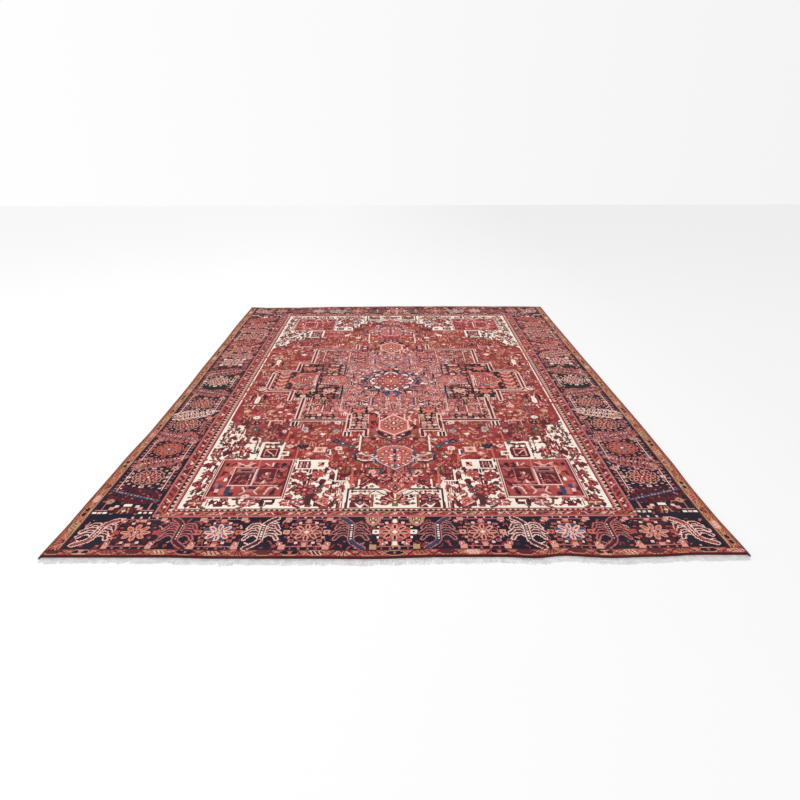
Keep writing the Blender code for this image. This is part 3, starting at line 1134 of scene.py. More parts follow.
def front_panel(pen):
    """The middle of the end of the field: ivory panels round a palmette, under a pointed arch."""
    pen.box(0, -1568, 460, 164, "ivory")
    pen.fill(mirrored([(70, -1488), (120, -1430), (176, -1486)]), "ivory")
    both_fills(pen, [(62, -1488), (120, -1428), (180, -1488)], "ivory")
    both(pen, floret, 118, -1462, "claret", "pink", size=12)
    both(pen, floret, 142, -1470, "claret", "pink", size=9)
    both_lines(pen, [(186, -1400), (186, -1470), (206, -1484)], "ivory", 11)
    both_lines(pen, [(128, -1392), (176, -1452)], "claret", 20)
    both_lines(pen, [(134, -1396), (172, -1444)], "salmon", 7)
    both_lines(pen, [(66, -1490), (232, -1490)], "claret", 10)
    both_lines(pen, [(66, -1482), (236, -1482)], "black", 5)
    both_lines(pen, [(235, -1484), (235, -1648)], "plum", 11)
    both_lines(pen, [(250, -1500), (250, -1648)], "ivory", 14)
    both_lines(pen, [(64, -1536), (224, -1536)], "tan", 7)
    both_lines(pen, [(64, -1530), (100, -1500), (128, -1530)], "black", 4)
    both_lines(pen, [(116, -1540), (116, -1640)], "rust", 13)
    both_lines(pen, [(108, -1544), (108, -1640)], "claret", 4)
    for x, w, h in ((214, 14, 26), (196, 15, 14), (174, 24, 22), (152, 13, 24), (130, 20, 18), (108, 13, 14)):
        both(pen, Pen.oval, x, -1510, 0, 0, w, h, "claret" if w < 17 else "coral")
    both(pen, Pen.line, 0, 0, [(88, -1512), (40, -1546)], "claret", 8)
    for side in (-1, 1):
        side_flower(pen.at(side * 170, -1590, flip_x=side, size=1.2))
    # The palmette.
    for turn in range(-100, 101, 25):
        petal = pen.at(0, -1606, turn=turn, size=1.15)
        petal.fill([(-5, 10), (-16, 46), (0, 78), (16, 46), (5, 10)], "claret" if turn % 50 else "brick")
        petal.line([(0, 26), (0, 62)], "salmon" if turn % 50 else "pink", 6)
    pen.line([(0, -1560), (0, -1530)], "ivory", 5)
    pen.fill([(-14, -1638), (14, -1638), (10, -1566), (0, -1552), (-10, -1566)], "olive")
    for y in (-1560, -1582, -1604):
        pen.box(0, y, 10, 10, "ivory")
    both(pen, Pen.oval, 88, -1613, 0, 0, 22, 20, "teal")
    both(pen, Pen.oval, 90, -1577, 0, 0, 14, 14, "claret")
    both(pen, Pen.oval, 60, -1622, 0, 0, 20, 16, "claret")
    both(pen, Pen.oval, 52, -1558, 0, 0, 13, 15, "claret")
    both(pen, Pen.oval, 96, -1550, 0, 0, 8, 20, "rose")
    # The arch of florets, and the lozenge under its point.
    pen.fill([(-104, -1420), (104, -1420), (0, -1524)], "brick")
    draw = random.Random(17)
    for row in range(7):
        y = -1500 + 26 * row
        for i in range(row + 1):
            x = (i - row / 2) * 34
            floret(pen.at(x, y), draw.choice(("salmon", "rose", "coral")), "claret", size=12)
            pen.line([(x, y - 18), (x, y - 8)], "pink", 5)
    both_lines(pen, [(0, -1524), (104, -1420), (120, -1380)], "brick", 12)
    both_lines(pen, [(8, -1540), (78, -1476)], "coral", 8)
    pen.fill([(0, -1500), (14, -1474), (0, -1440), (-14, -1474)], "navy")
    pen.fill([(0, -1488), (6, -1474), (0, -1460), (-6, -1474)], "grey")
    both_lines(pen, [(146, -1284), (74, -1284)], "navy", 9)
    both_lines(pen, [(78, -1284), (78, -1338)], "blue", 16)
    both_lines(pen, [(12, -1300), (12, -1340)], "navy", 9)
    both(pen, floret, 122, -1322, "pink", "claret", "salmon", size=20)


def side_flower(pen):
    """A dark red flower with a navy cross, in the panel beside the palmette."""
    looped_ring(pen.at(0, 10), 30, 26, 8, "claret", "rose", (28, 34))
    pen.line([(-28, 32), (28, -10)], "navy", 8)
    pen.line([(-28, -10), (28, 32)], "navy", 8)
    pen.line([(-36, 11), (36, 11)], "salmon", 7)
    pen.oval(0, 11, 16, 15, "black")
    for side in (-1, 1):
        pen.fill([(side * 42, -52), (side * 4, -52), (side * 18, -26), (side * 42, -12)], "claret")
    pen.line([(-36, -42), (-14, -20)], "pink", 5)
    pen.oval(-30, 34, 18, 15, "coral")
    pen.oval(30, 34, 18, 15, "coral")


def medallion(pen):
    """The great medallion: a stepped outline in double lines, dark corners, and a salmon heart."""
    red = mirrored([
        (0, 690), (300, 690), (300, 760), (300, 650), (625, 650), (625, 340), (725, 340), (725, 150),
        (890, 140), (905, -30), (890, -215), (725, -225), (725, -380), (620, -400), (620, -690),
        (285, -690), (285, -830), (0, -900),
    ])  # fmt: skip
    pen.fill(red, "brick")
    heart = mirrored([
        (0, 610), (120, 600), (300, 560), (300, 400), (420, 400), (420, 300), (540, 100), (540, -160),
        (420, -360), (420, -420), (300, -420), (300, -560), (120, -600), (0, -620),
    ])  # fmt: skip
    pen.fill(heart, "rose")
    tones = ("salmon", "coral", "pink", "mauve", "salmon", "pink", "grey")
    vine_field(pen, 6, 540, -600, 640, 3, 33, tones, ("claret", "claret", "brick", "plum"))
    tones = ("salmon", "rose", "pink", "madder", "olive")
    vine_field(pen, 430, 640, -600, 600, 6, 34, tones, ("claret", "plum"))

    # Dark corners and strips, set with flowers.
    flower_bed(pen, 350, 604, -676, -604, "black", 51, 36)
    flower_bed(pen, 350, 604, 588, 644, "plum", 52, 36)
    flower_bed(pen, 162, 270, -815, -600, "black", 53, 38)
    flower_bed(pen, 168, 252, 590, 745, "plum", 54, 38)
    flower_bed(pen, 362, 548, 60, 300, "plum", 55, 44)
    flower_bed(pen, 362, 548, -372, -110, "black", 56, 44)
    flower_bed(pen, 545, 712, 120, 300, "black", 57, 48)
    flower_bed(pen, 545, 712, -380, -150, "black", 58, 48)
    flower_bed(pen, 548, 606, -600, -385, "plum", 59, 32)
    flower_bed(pen, 300, 548, -600, -500, "rose", 60, 30)
    both_lines(pen, [(160, -600), (160, -740)], "pink", 6)
    both_lines(pen, [(548, 96), (470, 110), (430, 160)], "black", 16)
    both_lines(pen, [(700, 130), (600, 130), (560, 200)], "black", 14)
    both_lines(pen, [(548, -190), (470, -170), (400, -150)], "black", 14)
    both(pen, flower_pot, 640, 205, "coral", "salmon", "black")
    both(pen, flower_pot, 632, -240, "coral", "salmon", "black")
    both(pen, flower_pot, 455, -225, "salmon", "pink", "black")
    both(pen, flower_pot, 462, 190, "rust", "pink", "plum")

    # The side arms: flowers between dark bars at the tips, then hexagons pointing outwards.
    both_fills(pen, [(735, 140), (880, 140), (880, -205), (735, -205)], "black")
    for y in (98, 34, -32, -100, -168):
        both(pen, floret, 862, y - 20, "salmon", "claret", size=17)
        both(pen, floret, 772, y - 28, "coral", "pink", size=15)
        both(pen, flower_pot, 820, y + 4, "coral", "pink", "claret" if y in (34, -100) else "black")
        both_lines(pen, [(790, y - 46), (850, y - 46)], "mauve", 5)
    hexagon = [(560, 120), (680, 110), (768, -30), (690, -170), (560, -180)]
    both_fills(pen, hexagon, "brick")
    tones = ("salmon", "coral", "pink", "rose", "salmon", "grey")
    vine_field(pen, 585, 735, -140, 95, 61, 28, tones, ("claret", "claret", "madder"))
    both_lines(pen, [*hexagon, hexagon[0]], "salmon", 8)
    both_lines(pen, [(582, 70), (582, -130)], "pink", 6)
    both_lines(pen, [(570, 70), (570, -130)], "ivory", 6)
    both_lines(pen, [(552, 95), (552, -275)], "black", 11)
    both_lines(pen, [(534, 60), (534, -120)], "navy", 13)
    both_fills(pen, [(370, 60), (520, 40), (520, -100), (370, -130), (330, -30)], "coral")
    vine_field(pen, 365, 515, -95, 40, 62, 27, ("pink", "salmon", "grey", "rose", "pink"), ("brick", "claret"))

    # Bars along the edges of the heart.
    for x, low_y, high_y, dye in (
        (366, 90, 285, "navy"), (378, 90, 290, "grey"), (362, -360, -140, "navy"), (374, -360, -140, "grey"),
        (350, -520, -330, "pink"), (350, 340, 600, "pink"), (560, 360, 620, "pink"), (560, -600, -340, "pink"),
        (465, -450, -380, "navy"), (415, -570, -500, "navy"), (424, 420, 520, "sky"), (480, 360, 440, "navy"),
        (135, 300, 420, "blue"), (138, -470, -350, "blue"), (150, 300, 420, "pink"), (150, -470, -350, "pink"),
        (300, -120, -60, "navy"), (296, 20, 80, "navy"), (230, 60, 130, "blue"), (470, -570, -480, "ivory"),
    ):  # fmt: skip
        both_lines(pen, [(x, low_y), (x, high_y)], dye, 10 if dye in ("navy", "blue", "sky") else 5)
    both_lines(pen, [(366, 88), (420, 88)], "mauve", 6)
    both_lines(pen, [(362, -138), (440, -150), (520, -150)], "mauve", 6)
    both(pen, flower_pot, 225, -555, "coral", "salmon", "black")
    both(pen, flower_pot, 240, 520, "coral", "salmon", "plum")
    both(pen, flower_pot, 262, 392, "brick", "pink", "black")
    both(pen, flower_pot, 275, -445, "rose", "pink", "plum")
    both_lines(pen, [(90, -596), (175, -596), (175, -500)], "black", 13)
    both_lines(pen, [(190, -480), (190, -420), (240, -395)], "black", 11)
    both(pen, floret, 150, -530, "pink", "claret", size=20)
    both(pen, floret, 185, -455, "ivory", "rose", size=15)
    both(pen, floret, 110, -585, "ivory", "rose", size=15)

    # Cream combs at the waist of the lower arms.
    both(pen, comb, 628, -350, 9, 34, "pink", "claret")
    both(pen, comb, 304, -602, 6, 30, "pink", "claret")
    # Double outlines.
    double_line(pen, [(905, 115), (905, -190)])
    double_line(pen, [(733, 335), (733, 160), (880, 150), (905, 118)])
    double_line(pen, [(905, -190), (880, -222), (712, -222), (712, -385)])
    double_line(pen, [(640, 640), (640, 330), (733, 330)])
    double_line(pen, [(617, -350), (617, -690)])
    double_line(pen, [(290, 760), (290, 655), (640, 655)])
    double_line(pen, [(645, -690), (284, -690), (284, -625)])
    double_line(pen, [(284, -690), (284, -842)])
    double_line(pen, [(272, -825), (168, -825), (168, -910)])
    for x, y in ((620, -745), (284, -885)):
        for dx in (-22, 0, 22):
            both_lines(pen, [(x + dx, y - 22), (x + dx, y + 30)], "ivory", 6)
        for dx in (-11, 11):
            both_lines(pen, [(x + dx, y - 22), (x + dx, y + 26)], "navy", 12)


def star(pen):
    """The eight-lobed star at the heart of the rug, with dark hooks round it."""
    speckle(pen, 540, 600, 7, 120, ("navy", "rose", "blue", "pink", "claret", "salmon", "claret"), 14, 28)
    for i in range(16):
        a = math.pi / 8 * (i + 0.5)
        spot = pen.at(math.cos(a) * 192, math.sin(a) * 214, turn=22.5 * i - 78)
        spot.line([(-24, 16), (-14, -8), (14, -12), (24, 10)], "navy" if i % 2 else "blue", 16)
        spot.line([(-6, 10), (20, 0)], "blue" if i % 2 else "mauve", 10)
        spot.oval(0, 30, 26, 24, "ivory" if i % 2 else "coral")
    outline = [(x * 152, y * 176) for x, y in lobed_outline(1.0, 8, 0.26)]
    pen.line([(x * 1.08, y * 1.08) for x, y in outline], "navy", 11, closed=True)
    pen.fill(outline, "brick")
    pen.line(outline, "ivory", 12, closed=True)
    for i in range(24):
        a = math.pi / 12 * i
        pen.box(math.cos(a) * 136, math.sin(a) * 158, 22, 24, "ivory" if i % 2 else "blue")
    looped_ring(pen, 116, 136, 16, "claret", "pink", (28, 38))
    looped_ring(pen, 80, 92, 10, "navy", "ivory", (28, 34))
    looped_ring(pen, 46, 52, 8, "salmon", "claret", (26, 34))
    pen.fill([(x * 36, y * 42) for x, y in lobed_outline(1.0, 4, 0.3)], "coral")
    pen.oval(0, 0, 30, 34, "claret")
    pen.box(0, 0, 14, 18, "ivory")
    both_lines(pen, [(16, -186), (46, -232), (34, -268)], "blue", 19)
    both_lines(pen, [(88, -172), (98, -236)], "navy", 11)
    both_lines(pen, [(108, -180), (150, -186)], "navy", 9)
    both_lines(pen, [(44, 200), (48, 156)], "navy", 15)
    both_lines(pen, [(56, 152), (118, 130)], "blue", 10)
    pen.line([(0, -200), (0, -300)], "coral", 16)
    pen.line([(0, 190), (0, 260)], "coral", 12)


def lower_hexagon(pen):
    """The pink hexagon and square where the medallion meets the pendant's stem."""
    outline = mirrored([(0, -616), (88, -706), (88, -822), (0, -895)])
    pen.fill(mirrored([(0, -600), (100, -600), (100, -830), (40, -960), (0, -985)]), "brick")
    speckle(pen.at(0, -722), 290, 230, 5, 80, ("salmon", "black", "claret", "pink", "black"), 13, 28)
    pen.fill(outline, "coral")
    pen.frame(-10, -655, 158, 96, "pink", 7)
    looped_ring(pen.at(0, -745), 52, 72, 12, "claret", "pink", (27, 36))
    looped_ring(pen.at(0, -745), 22, 34, 6, "salmon", "brick", (24, 30))
    pen.line(outline, "pink", 11, closed=True)
    pen.fill([(-20, -735), (0, -700), (20, -735), (0, -770)], "claret")
    pen.fill([(-11, -735), (0, -716), (11, -735), (0, -754)], "ivory")
    both_fills(pen, [(14, -900), (84, -850), (110, -850), (60, -950), (14, -990)], "plum")
    both_lines(pen, [(92, -845), (70, -900), (14, -955)], "black", 13)
    both_lines(pen, [(132, -820), (100, -900), (0, -972)], "mauve", 10)
    for x, y in ((30, -925), (52, -890), (0, -940), (0, -912)):
        both(pen, floret, x, y, "salmon", "ivory", size=11)
    both_lines(pen, [(160, -905), (120, -870)], "olive", 8)


def vase(pen):
    """A white vase with a pair of hooks and a dotted foot."""
    pen.fill([(-9, 60), (9, 60), (15, 14), (17, -30), (9, -52), (-9, -52), (-17, -30), (-15, 14)], "ivory")
    pen.line([(0, 30), (0, -30)], "salmon", 5)
    pen.box(0, 74, 14, 16, "claret")
    for side in (-1, 1):
        pen.line([(side * 30, 90), (side * 42, 66), (side * 42, 8)], "navy", 13)
        pen.line([(side * 18, 96), (side * 12, 60)], "pink", 6)
        pen.box(side * 58, -42, 20, 20, "teal")
        pen.line([(side * 30, -46), (side * 44, -64)], "pink", 6)
    pen.line([(-86, -86), (86, -86)], "mauve", 9)
    for x in range(-72, 80, 24):
        pen.box(x, -86, 9, 8, "ivory")
    pen.line([(0, -90), (4, -132)], "ivory", 6)


SCATTER = (
    (430, -885, star_spot, ("ivory", "rose")), (430, 780, star_spot, ("ivory", "salmon")),
    (665, -845, checked_square, (30, "pink", "pink", "navy")), (350, -730, floret, ("pink", "navy")),
    (875, -655, floret, ("ivory", "navy", "pink")), (855, -735, floret, ("navy", "pink")),
    (350, -845, floret, ("grey", "teal")), (545, -820, floret, ("grey", "claret", "pink")),
    (430, -745, bar_spot, ("grey", "rose", 34)), (855, -560, bar_spot, ("brick", "blue", 84)),
    (780, -350, bar_spot, ("pink", "blue", 44)), (740, 520, floret, ("ivory", "rose", "mauve")),
    (600, -1035, floret, ("pink", "claret", "rose")), (620, -1120, checked_square, (54, "ivory", "salmon", "blue")),
    (425, -1075, checked_square, (62, "pink", "salmon", "olive")), (370, -1105, bar_spot, ("ivory", "blue", 60)),
    (280, -1160, star_spot, ("ivory", "navy")), (480, -1120, floret, ("salmon", "ivory", "coral")),
    (340, -975, floret, ("navy", "rose", "blue")), (300, -1000, floret, ("blue", "ivory")),
    (320, -1060, floret, ("pink", "claret", "ivory")), (250, -1040, floret, ("teal", "grey")),
    (850, -820, floret, ("teal", "pink")), (760, -930, bar_spot, ("coral", "blue", 36)),
    (300, 960, floret, ("ivory", "claret", "pink")), (410, 1030, floret, ("ivory", "rose")),
    (500, 1080, bar_spot, ("rose", "teal", 60)), (250, 1120, bar_spot, ("mauve", "navy", 60)),
    (560, 900, floret, ("olive", "pink")), (860, 720, floret, ("rose", "ivory")),
    (700, 830, bar_spot, ("coral", "claret", 60)), (930, 20, bar_spot, ("pink", "navy", 44)),
    (930, -75, bar_spot, ("pink", "navy", 44)), (160, -960, floret, ("rose", "grey", "mauve")),
    (940, -200, floret, ("pink", "claret")), (800, -560, floret, ("tan", "pink")),
    (760, -480, floret, ("pink", "olive", "rose")), (960, -560, floret, ("salmon", "pink")),
)  # fmt: skip


def heart_spot(pen):
    """A navy heart-shaped leaf with a blue fork."""
    pen.fill([(0, -34), (30, 0), (30, 26), (16, 12), (0, 26), (-16, 12), (-30, 26), (-30, 0)], "navy")
    pen.line([(-12, 6), (0, -12), (12, 6)], "blue", 7)


def bracket_spot(pen):
    """A white corner bracket with a navy bar inside it."""
    pen.line([(-46, 30), (28, 30), (28, -44)], "pink", 9)
    pen.line([(-50, 26), (-50, -20)], "salmon", 8)
    pen.line([(8, 4), (8, -40)], "navy", 10)
    pen.box(-20, -2, 28, 22, "coral")


def branch(pen, top, bottom):
    """A white stick with two side twigs."""
    pen.line([(0, top), (0, bottom)], "ivory", 9)
    pen.line([(0, top + (bottom - top) * 0.34), (34, top + (bottom - top) * 0.46), (50, top + (bottom - top) * 0.66)],
             "salmon", 8)  # fmt: skip
    pen.line([(0, top + (bottom - top) * 0.62), (24, top + (bottom - top) * 0.80)], "pink", 7)


def draw_field(pen):
    """The field: a red ground, the ivory corners, and the medallion with its pendants."""
    ground = random.Random(2)
    for _ in range(240):
        x, y = ground.uniform(-1030, 1030), ground.uniform(-1640, 1640)
        lots = ("brick", "madder", "brick", "coral", "madder") if y < 150 else ("brick", "coral", "brick", "coral", "rust")
        dye = ground.choice(lots)
        pen.box(x, y, ground.uniform(60, 260), ground.uniform(8, 36), dye)
    tones = ("salmon", "pink", "coral", "rose", "salmon", "coral", "claret", "brick", "tan")
    stalks = ("claret", "claret", "plum", "olive", "madder")
    vine_field(pen, 14, 1020, -1490, 560, 1, 40, tones, stalks)
    vine_field(pen.at(0, 590, size=1.25), 14, 800, 0, 780, 9, 40, tones[:6], stalks)
    both_lines(pen, [(632, -840), (632, -1190)], "coral", 11)
    both_lines(pen, [(548, -1080), (548, -1190)], "coral", 9)
    both_lines(pen, [(350, -1130), (350, -1390)], "coral", 11)
    both_lines(pen, [(225, -1290), (225, -1480)], "coral", 13)
    for side in (-1, 1):
        ivory_corner(pen.at(0, 0, flip_x=side))
        ivory_corner(pen.at(0, -10, flip_x=side, flip_y=-1), back=True)
    front_panel(pen)
    front_panel(pen.at(0, 0, flip_y=-1))
    for end in (-1, 1):
        speckle(pen.at(0, end * 1388), 380, 130, 17, 56, ("claret", "plum", "madder", "claret", "rose"), 13, 24)
        speckle(pen.at(0, end * 1580), 440, 96, 19, 26, ("claret", "brick", "claret", "plum"), 12, 20)
    medallion(pen)
    lower_hexagon(pen)
    lower_hexagon(pen.at(0, -60, flip_y=-1))
    star(pen.at(-8, -45))
    finial(pen.at(0, -1165))
    finial(pen.at(0, 1160, flip_y=-1))
    both(pen, branch, 200, 0, -905, -1085)
    both(pen, branch, 198, 0, 1070, 820)
    both(pen, vase, 930, -385)
    for side in (-1, 1):
        vase(pen.at(side * 922, 350, flip_y=-1))
    both(pen, heart_spot, 526, -1038)
    both(pen, bracket_spot, 752, -730)
    both(pen, bracket_spot, 752, 700)
    for x, y, figure, dyes in SCATTER:
        both(pen, figure, x, y, *dyes)


def draw_rug(plan):
    """The whole design, from the edge inwards."""
    pen = Pen(plan)
    draw_outer_guard(pen)
    draw_main_border(pen)
    draw_inner_guard(pen)
    draw_field(Pen(plan, lean=-0.0225))


# ---- pieces --------------------------------------------------------------------------------------


def pile_cells(half_width, half_length, inner_half_width, inner_half_length, side, x, y):
    """Which knots belong to one mitred strip of a band."""
    across = (np.abs(x) - inner_half_width) / (half_width - inner_half_width)
    along = (np.abs(y) - inner_half_length) / (half_length - inner_half_length)
    inside = (np.maximum(across, along) > 0) & (np.maximum(across, along) <= 1)
    chosen = (across > along) if side in ("left", "right") else (across <= along)
    sign = -1 if side in ("left", "front") else 1
    return inside & chosen & ((x if side in ("left", "right") else y) * sign > 0)


def boundary_round(mask):
    """The outline of a set of cells as a closed anticlockwise list of corner numbers."""
    rows, columns = mask.shape
    wide = columns + 1
    padded = np.pad(mask, 1)
    corner = np.arange(rows)[:, None] * wide + np.arange(columns)[None]
    runs = []
    for shift, start, end in (
        ((-1, 0), 0, 1), ((0, 1), 1, wide + 1), ((1, 0), wide + 1, wide), ((0, -1), wide, 0),
    ):  # fmt: skip
        beside = padded[1 + shift[0] : 1 + shift[0] + rows, 1 + shift[1] : 1 + shift[1] + columns]
        open_side = corner[mask & ~beside]
        runs.append(np.stack([open_side + start, open_side + end], 1))
    following = dict(np.concatenate(runs).tolist())
    first = min(following)
    outline, here = [first], following[first]
    while here != first:
        outline.append(here)
        here = following[here]
    return np.array(outline)


def pile_piece(name, mask, corner_x, corner_y, dye_colours, bottom, top, unevenness):
    """The knots of one strip as a closed slab: a face to a knot on top, walls, and a flat back."""
    rows, columns = np.nonzero(mask)
    wide = len(corner_x)
    cells = rows * wide + columns
    quads = np.stack([cells, cells + 1, cells + wide + 1, cells + wide], 1)
    outline = boundary_round(mask)
    used = np.unique(quads)
    number = np.full(len(corner_x) * len(corner_y), -1)
    number[used] = np.arange(len(used))
    r, c = np.divmod(used, wide)
    flat = np.stack([corner_x[c], corner_y[r]], 1)

    # Draws the edge knots in by a hair, so that neighbouring strips don't touch.
    middles = np.stack([corner_x[columns] + corner_x[columns + 1], corner_y[rows] + corner_y[rows + 1]], 1) / 2
    total, count = np.zeros_like(flat), np.zeros(len(flat))
    for i in range(4):
        np.add.at(total, number[quads[:, i]], middles)
        np.add.at(count, number[quads[:, i]], 1)
    edge = number[outline]
    pull = total[edge] / count[edge][:, None] - flat[edge]
    flat[edge] += 0.06 * pull

    noise = np.random.default_rng(len(used)).normal(0, 0.45, len(used)).clip(-1, 1)
    dips = np.zeros(len(flat))
    lightness = dye_colours.mean(1)
    for i in range(4):
        np.add.at(dips, number[quads[:, i]], np.clip(0.12 - lightness, 0, 0.12) / 0.12)
    height = top + unevenness * (noise * 0.7 - 0.6 - 0.9 * dips / count)
    height[edge] -= unevenness
    points = np.concatenate([np.c_[flat, height], np.c_[flat[edge], np.full(len(edge), bottom)]])
    points = lie(points)
    below = len(used) + np.arange(len(edge))
    walls = np.stack([edge, below, np.roll(below, -1), np.roll(edge, -1)], 1)
    faces = np.concatenate([number[quads], walls])
    piece = piece_from(name, points, faces, [below[::-1]])

    # One colour to a knot. The walls take the knot beside them, and the back the strip's mean.
    owner = np.full(len(number), -1)
    for i in range(4):
        owner[quads[:, i]] = np.arange(len(quads))
    tints = np.concatenate([dye_colours, dye_colours[owner[outline]], dye_colours.mean(0)[None]])
    attribute = piece.data.attributes.new("wool", "FLOAT_COLOR", "FACE")
    attribute.data.foreach_set("color", np.c_[tints, np.ones(len(tints))].astype(np.float32).ravel())
    plan_map(piece, points, len(quads), len(walls), len(edge))
    return piece


def plan_map(piece, points, top_faces, wall_faces, edge_count):
    """A plan of the strip for baking: the knots take nearly all of it, the walls and back a margin."""
    layer = piece.data.uv_layers.new(name="OFBake")
    vertex = np.empty(len(piece.data.loops), np.int32)
    piece.data.loops.foreach_get("vertex_index", vertex)
    low, high = points[:, :2].min(0), points[:, :2].max(0)
    uv = (points[:, :2] - low) / (high - low)
    spots = uv[vertex]
    split = top_faces * 4
    spots[:split] = spots[:split] * (0.996, 0.956) + (0.002, 0.042)
    wall = np.arange(wall_faces)
    left, right = 0.06 + 0.93 * wall / wall_faces, 0.06 + 0.93 * (wall + 1) / wall_faces
    across = np.stack([left, left, right, right], 1)
    up = np.tile([0.03, 0.004, 0.004, 0.03], (wall_faces, 1))
    spots[split : split + 4 * wall_faces] = np.stack([across, up], 2).reshape(-1, 2)
    spots[split + 4 * wall_faces :] = spots[split + 4 * wall_faces :] * (0.045, 0.03) + (0.004, 0.004)
    layer.data.foreach_set("uv", spots.astype(np.float32).ravel())


def side_line(sign, spacing):
    """The middle of a side cord, from end to end of the rug, where it lies."""
    low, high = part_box(f"edge_cord_{'left' if sign < 0 else 'right'}")
    count = round((high[1] - low[1]) / spacing) + 1
    y = np.linspace(low[1], high[1], count)
    x, z = (low[0] + high[0]) / 2, (low[2] + high[2]) / 2
    return lie(np.stack([np.full(count, x), y, np.full(count, z)], 1))


def end_line(node, spacing):
    """The middle of a row along an end, where it lies."""
    low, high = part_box(node)
    count = round((high[0] - low[0]) / spacing) + 1
    x = np.linspace(low[0], high[0], count)
    y, z = (low[1] + high[1]) / 2, (low[2] + high[2]) / 2
    return lie(np.stack([x, np.full(count, y), np.full(count, z)], 1))


def make_overcast(side, sign, pitch):
    """Wool wound close round the side cord: a sleeve whose outside swells with each turn."""
    low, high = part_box(f"overcast_{side}")
    cord_low, cord_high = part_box(f"edge_cord_{side}")
    outer = (high[2] - low[2]) / 2
    inner = (cord_high[2] - cord_low[2]) / 2 + 0.0003
    line = side_line(sign, pitch / 4)
    turns = np.arange(len(line)) * (pitch / 4) / pitch
    sides = 12
    angles = np.arange(sides) * 2 * math.pi / sides
    noise = np.random.default_rng(11 + sign).normal(0, 0.00012, (len(line), 1))
    ridge = np.abs(np.sin(math.pi * turns[:, None] + angles[None] / 2))
    r = outer - 0.0009 * (1 - ridge) + noise - 0.0001
    ahead = np.gradient(line, axis=0)
    across = np.cross(ahead, (0, 0, 1))
    across /= np.linalg.norm(across, axis=1, keepdims=True)
    up = np.array((0, 0, 1.0))

    def skin(radius):
        outward = across[:, None] * np.cos(angles)[None, :, None] + up * np.sin(angles)[None, :, None]
        return line[:, None] + outward * radius[..., None]

    outside = skin(r)
    inside = skin(np.full_like(r, inner))
    points = np.concatenate([outside.reshape(-1, 3), inside.reshape(-1, 3)])
    out = np.arange(len(line) * sides).reshape(len(line), sides)
    within = out + len(line) * sides
    joins = [quads_between(a, b) for a, b in zip(out[:-1], out[1:], strict=True)]
    joins += [quads_between(b, a) for a, b in zip(within[:-1], within[1:], strict=True)]
    joins += [quads_between(within[0], out[0]), quads_between(out[-1], within[-1])]
    piece = piece_from(f"overcast_wool_{side}", points, np.concatenate(joins), smooth=True)
    return give(piece, f"overcast_{side}")


def make_side_cord(side, sign):
    line = side_line(sign, 0.004)
    low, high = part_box(f"edge_cord_{side}")
    phase = np.arange(len(line)) * 0.004 / 0.024 * 2 * math.pi
    points, quads, caps = tube(line, 9, (high[2] - low[2]) / 2, phase / 3, swell=0.18, lobes=3)
    piece = piece_from(f"side_cord_{side}", points, quads, caps, smooth=True)
    return give(piece, f"edge_cord_{side}")


def make_twined_row(end):
    """Two strands twisted round each other, drawn as one cord with two lobes."""
    node = f"twined_row_{end}"
    low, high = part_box(node)
    line = end_line(node, 0.0025)
    noise = np.random.default_rng(31).normal(0, 0.02, len(line))
    phase = (np.arange(len(line)) * 0.0025 / 0.020 + noise) * 2 * math.pi
    points, quads, caps = tube(line, 10, (high[2] - low[2]) / 2, phase, swell=0.30)
    piece = piece_from(f"twined_wool_{end}", points, quads, caps, smooth=True)
    return give(piece, node)


def make_flat_weave(end):
    """The flat-woven band: ribs over each pair of warps, and a selvedge that isn't quite straight."""
    node = f"flat_weave_{end}"
    low, high = map(np.array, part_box(node))
    columns = round((high[0] - low[0]) / 0.0016)
    across = np.linspace(0, 1, 6)
    x = np.linspace(low[0], high[0], columns + 1)
    noise = np.random.default_rng(41)
    rise = 0.00035 * np.abs(np.cos(math.pi * np.arange(columns + 1) / 4))
    points = []
    for level in (0, 1):
        for j, t in enumerate(across):
            z = low[2] if level == 0 else high[2] - 0.0004 + rise * (0.4 + 0.6 * (j % 2))
            y = low[1] + (high[1] - low[1]) * t
            drop = 0.0005 * (j in (0, 5)) * level
            jitter = noise.normal(0, 0.00008, columns + 1) * level
            points.append(np.stack([x, np.full_like(x, y), np.broadcast_to(z, x.shape) - drop + jitter], 1))
    points = lie(np.concatenate(points))
    grid = np.arange(len(points)).reshape(2, len(across), columns + 1)
    faces = []
    for level in (0, 1):
        g = grid[level]
        sheet = np.stack([g[:-1, :-1], g[:-1, 1:], g[1:, 1:], g[1:, :-1]], 2).reshape(-1, 4)
        faces.append(sheet if level else sheet[:, ::-1])
    rim = np.concatenate([np.arange(columns + 1), np.full(4, columns), np.arange(columns, -1, -1), np.zeros(4)])
    rows = np.concatenate([np.zeros(columns + 1), np.arange(1, 5), np.full(columns + 1, 5), np.arange(4, 0, -1)])
    rim, rows = rim.astype(int), rows.astype(int)
    faces.append(quads_between(grid[0][rows, rim], grid[1][rows, rim]))
    piece = piece_from(f"flat_weave_cotton_{end}", points, np.concatenate(faces))
    return give(piece, node)


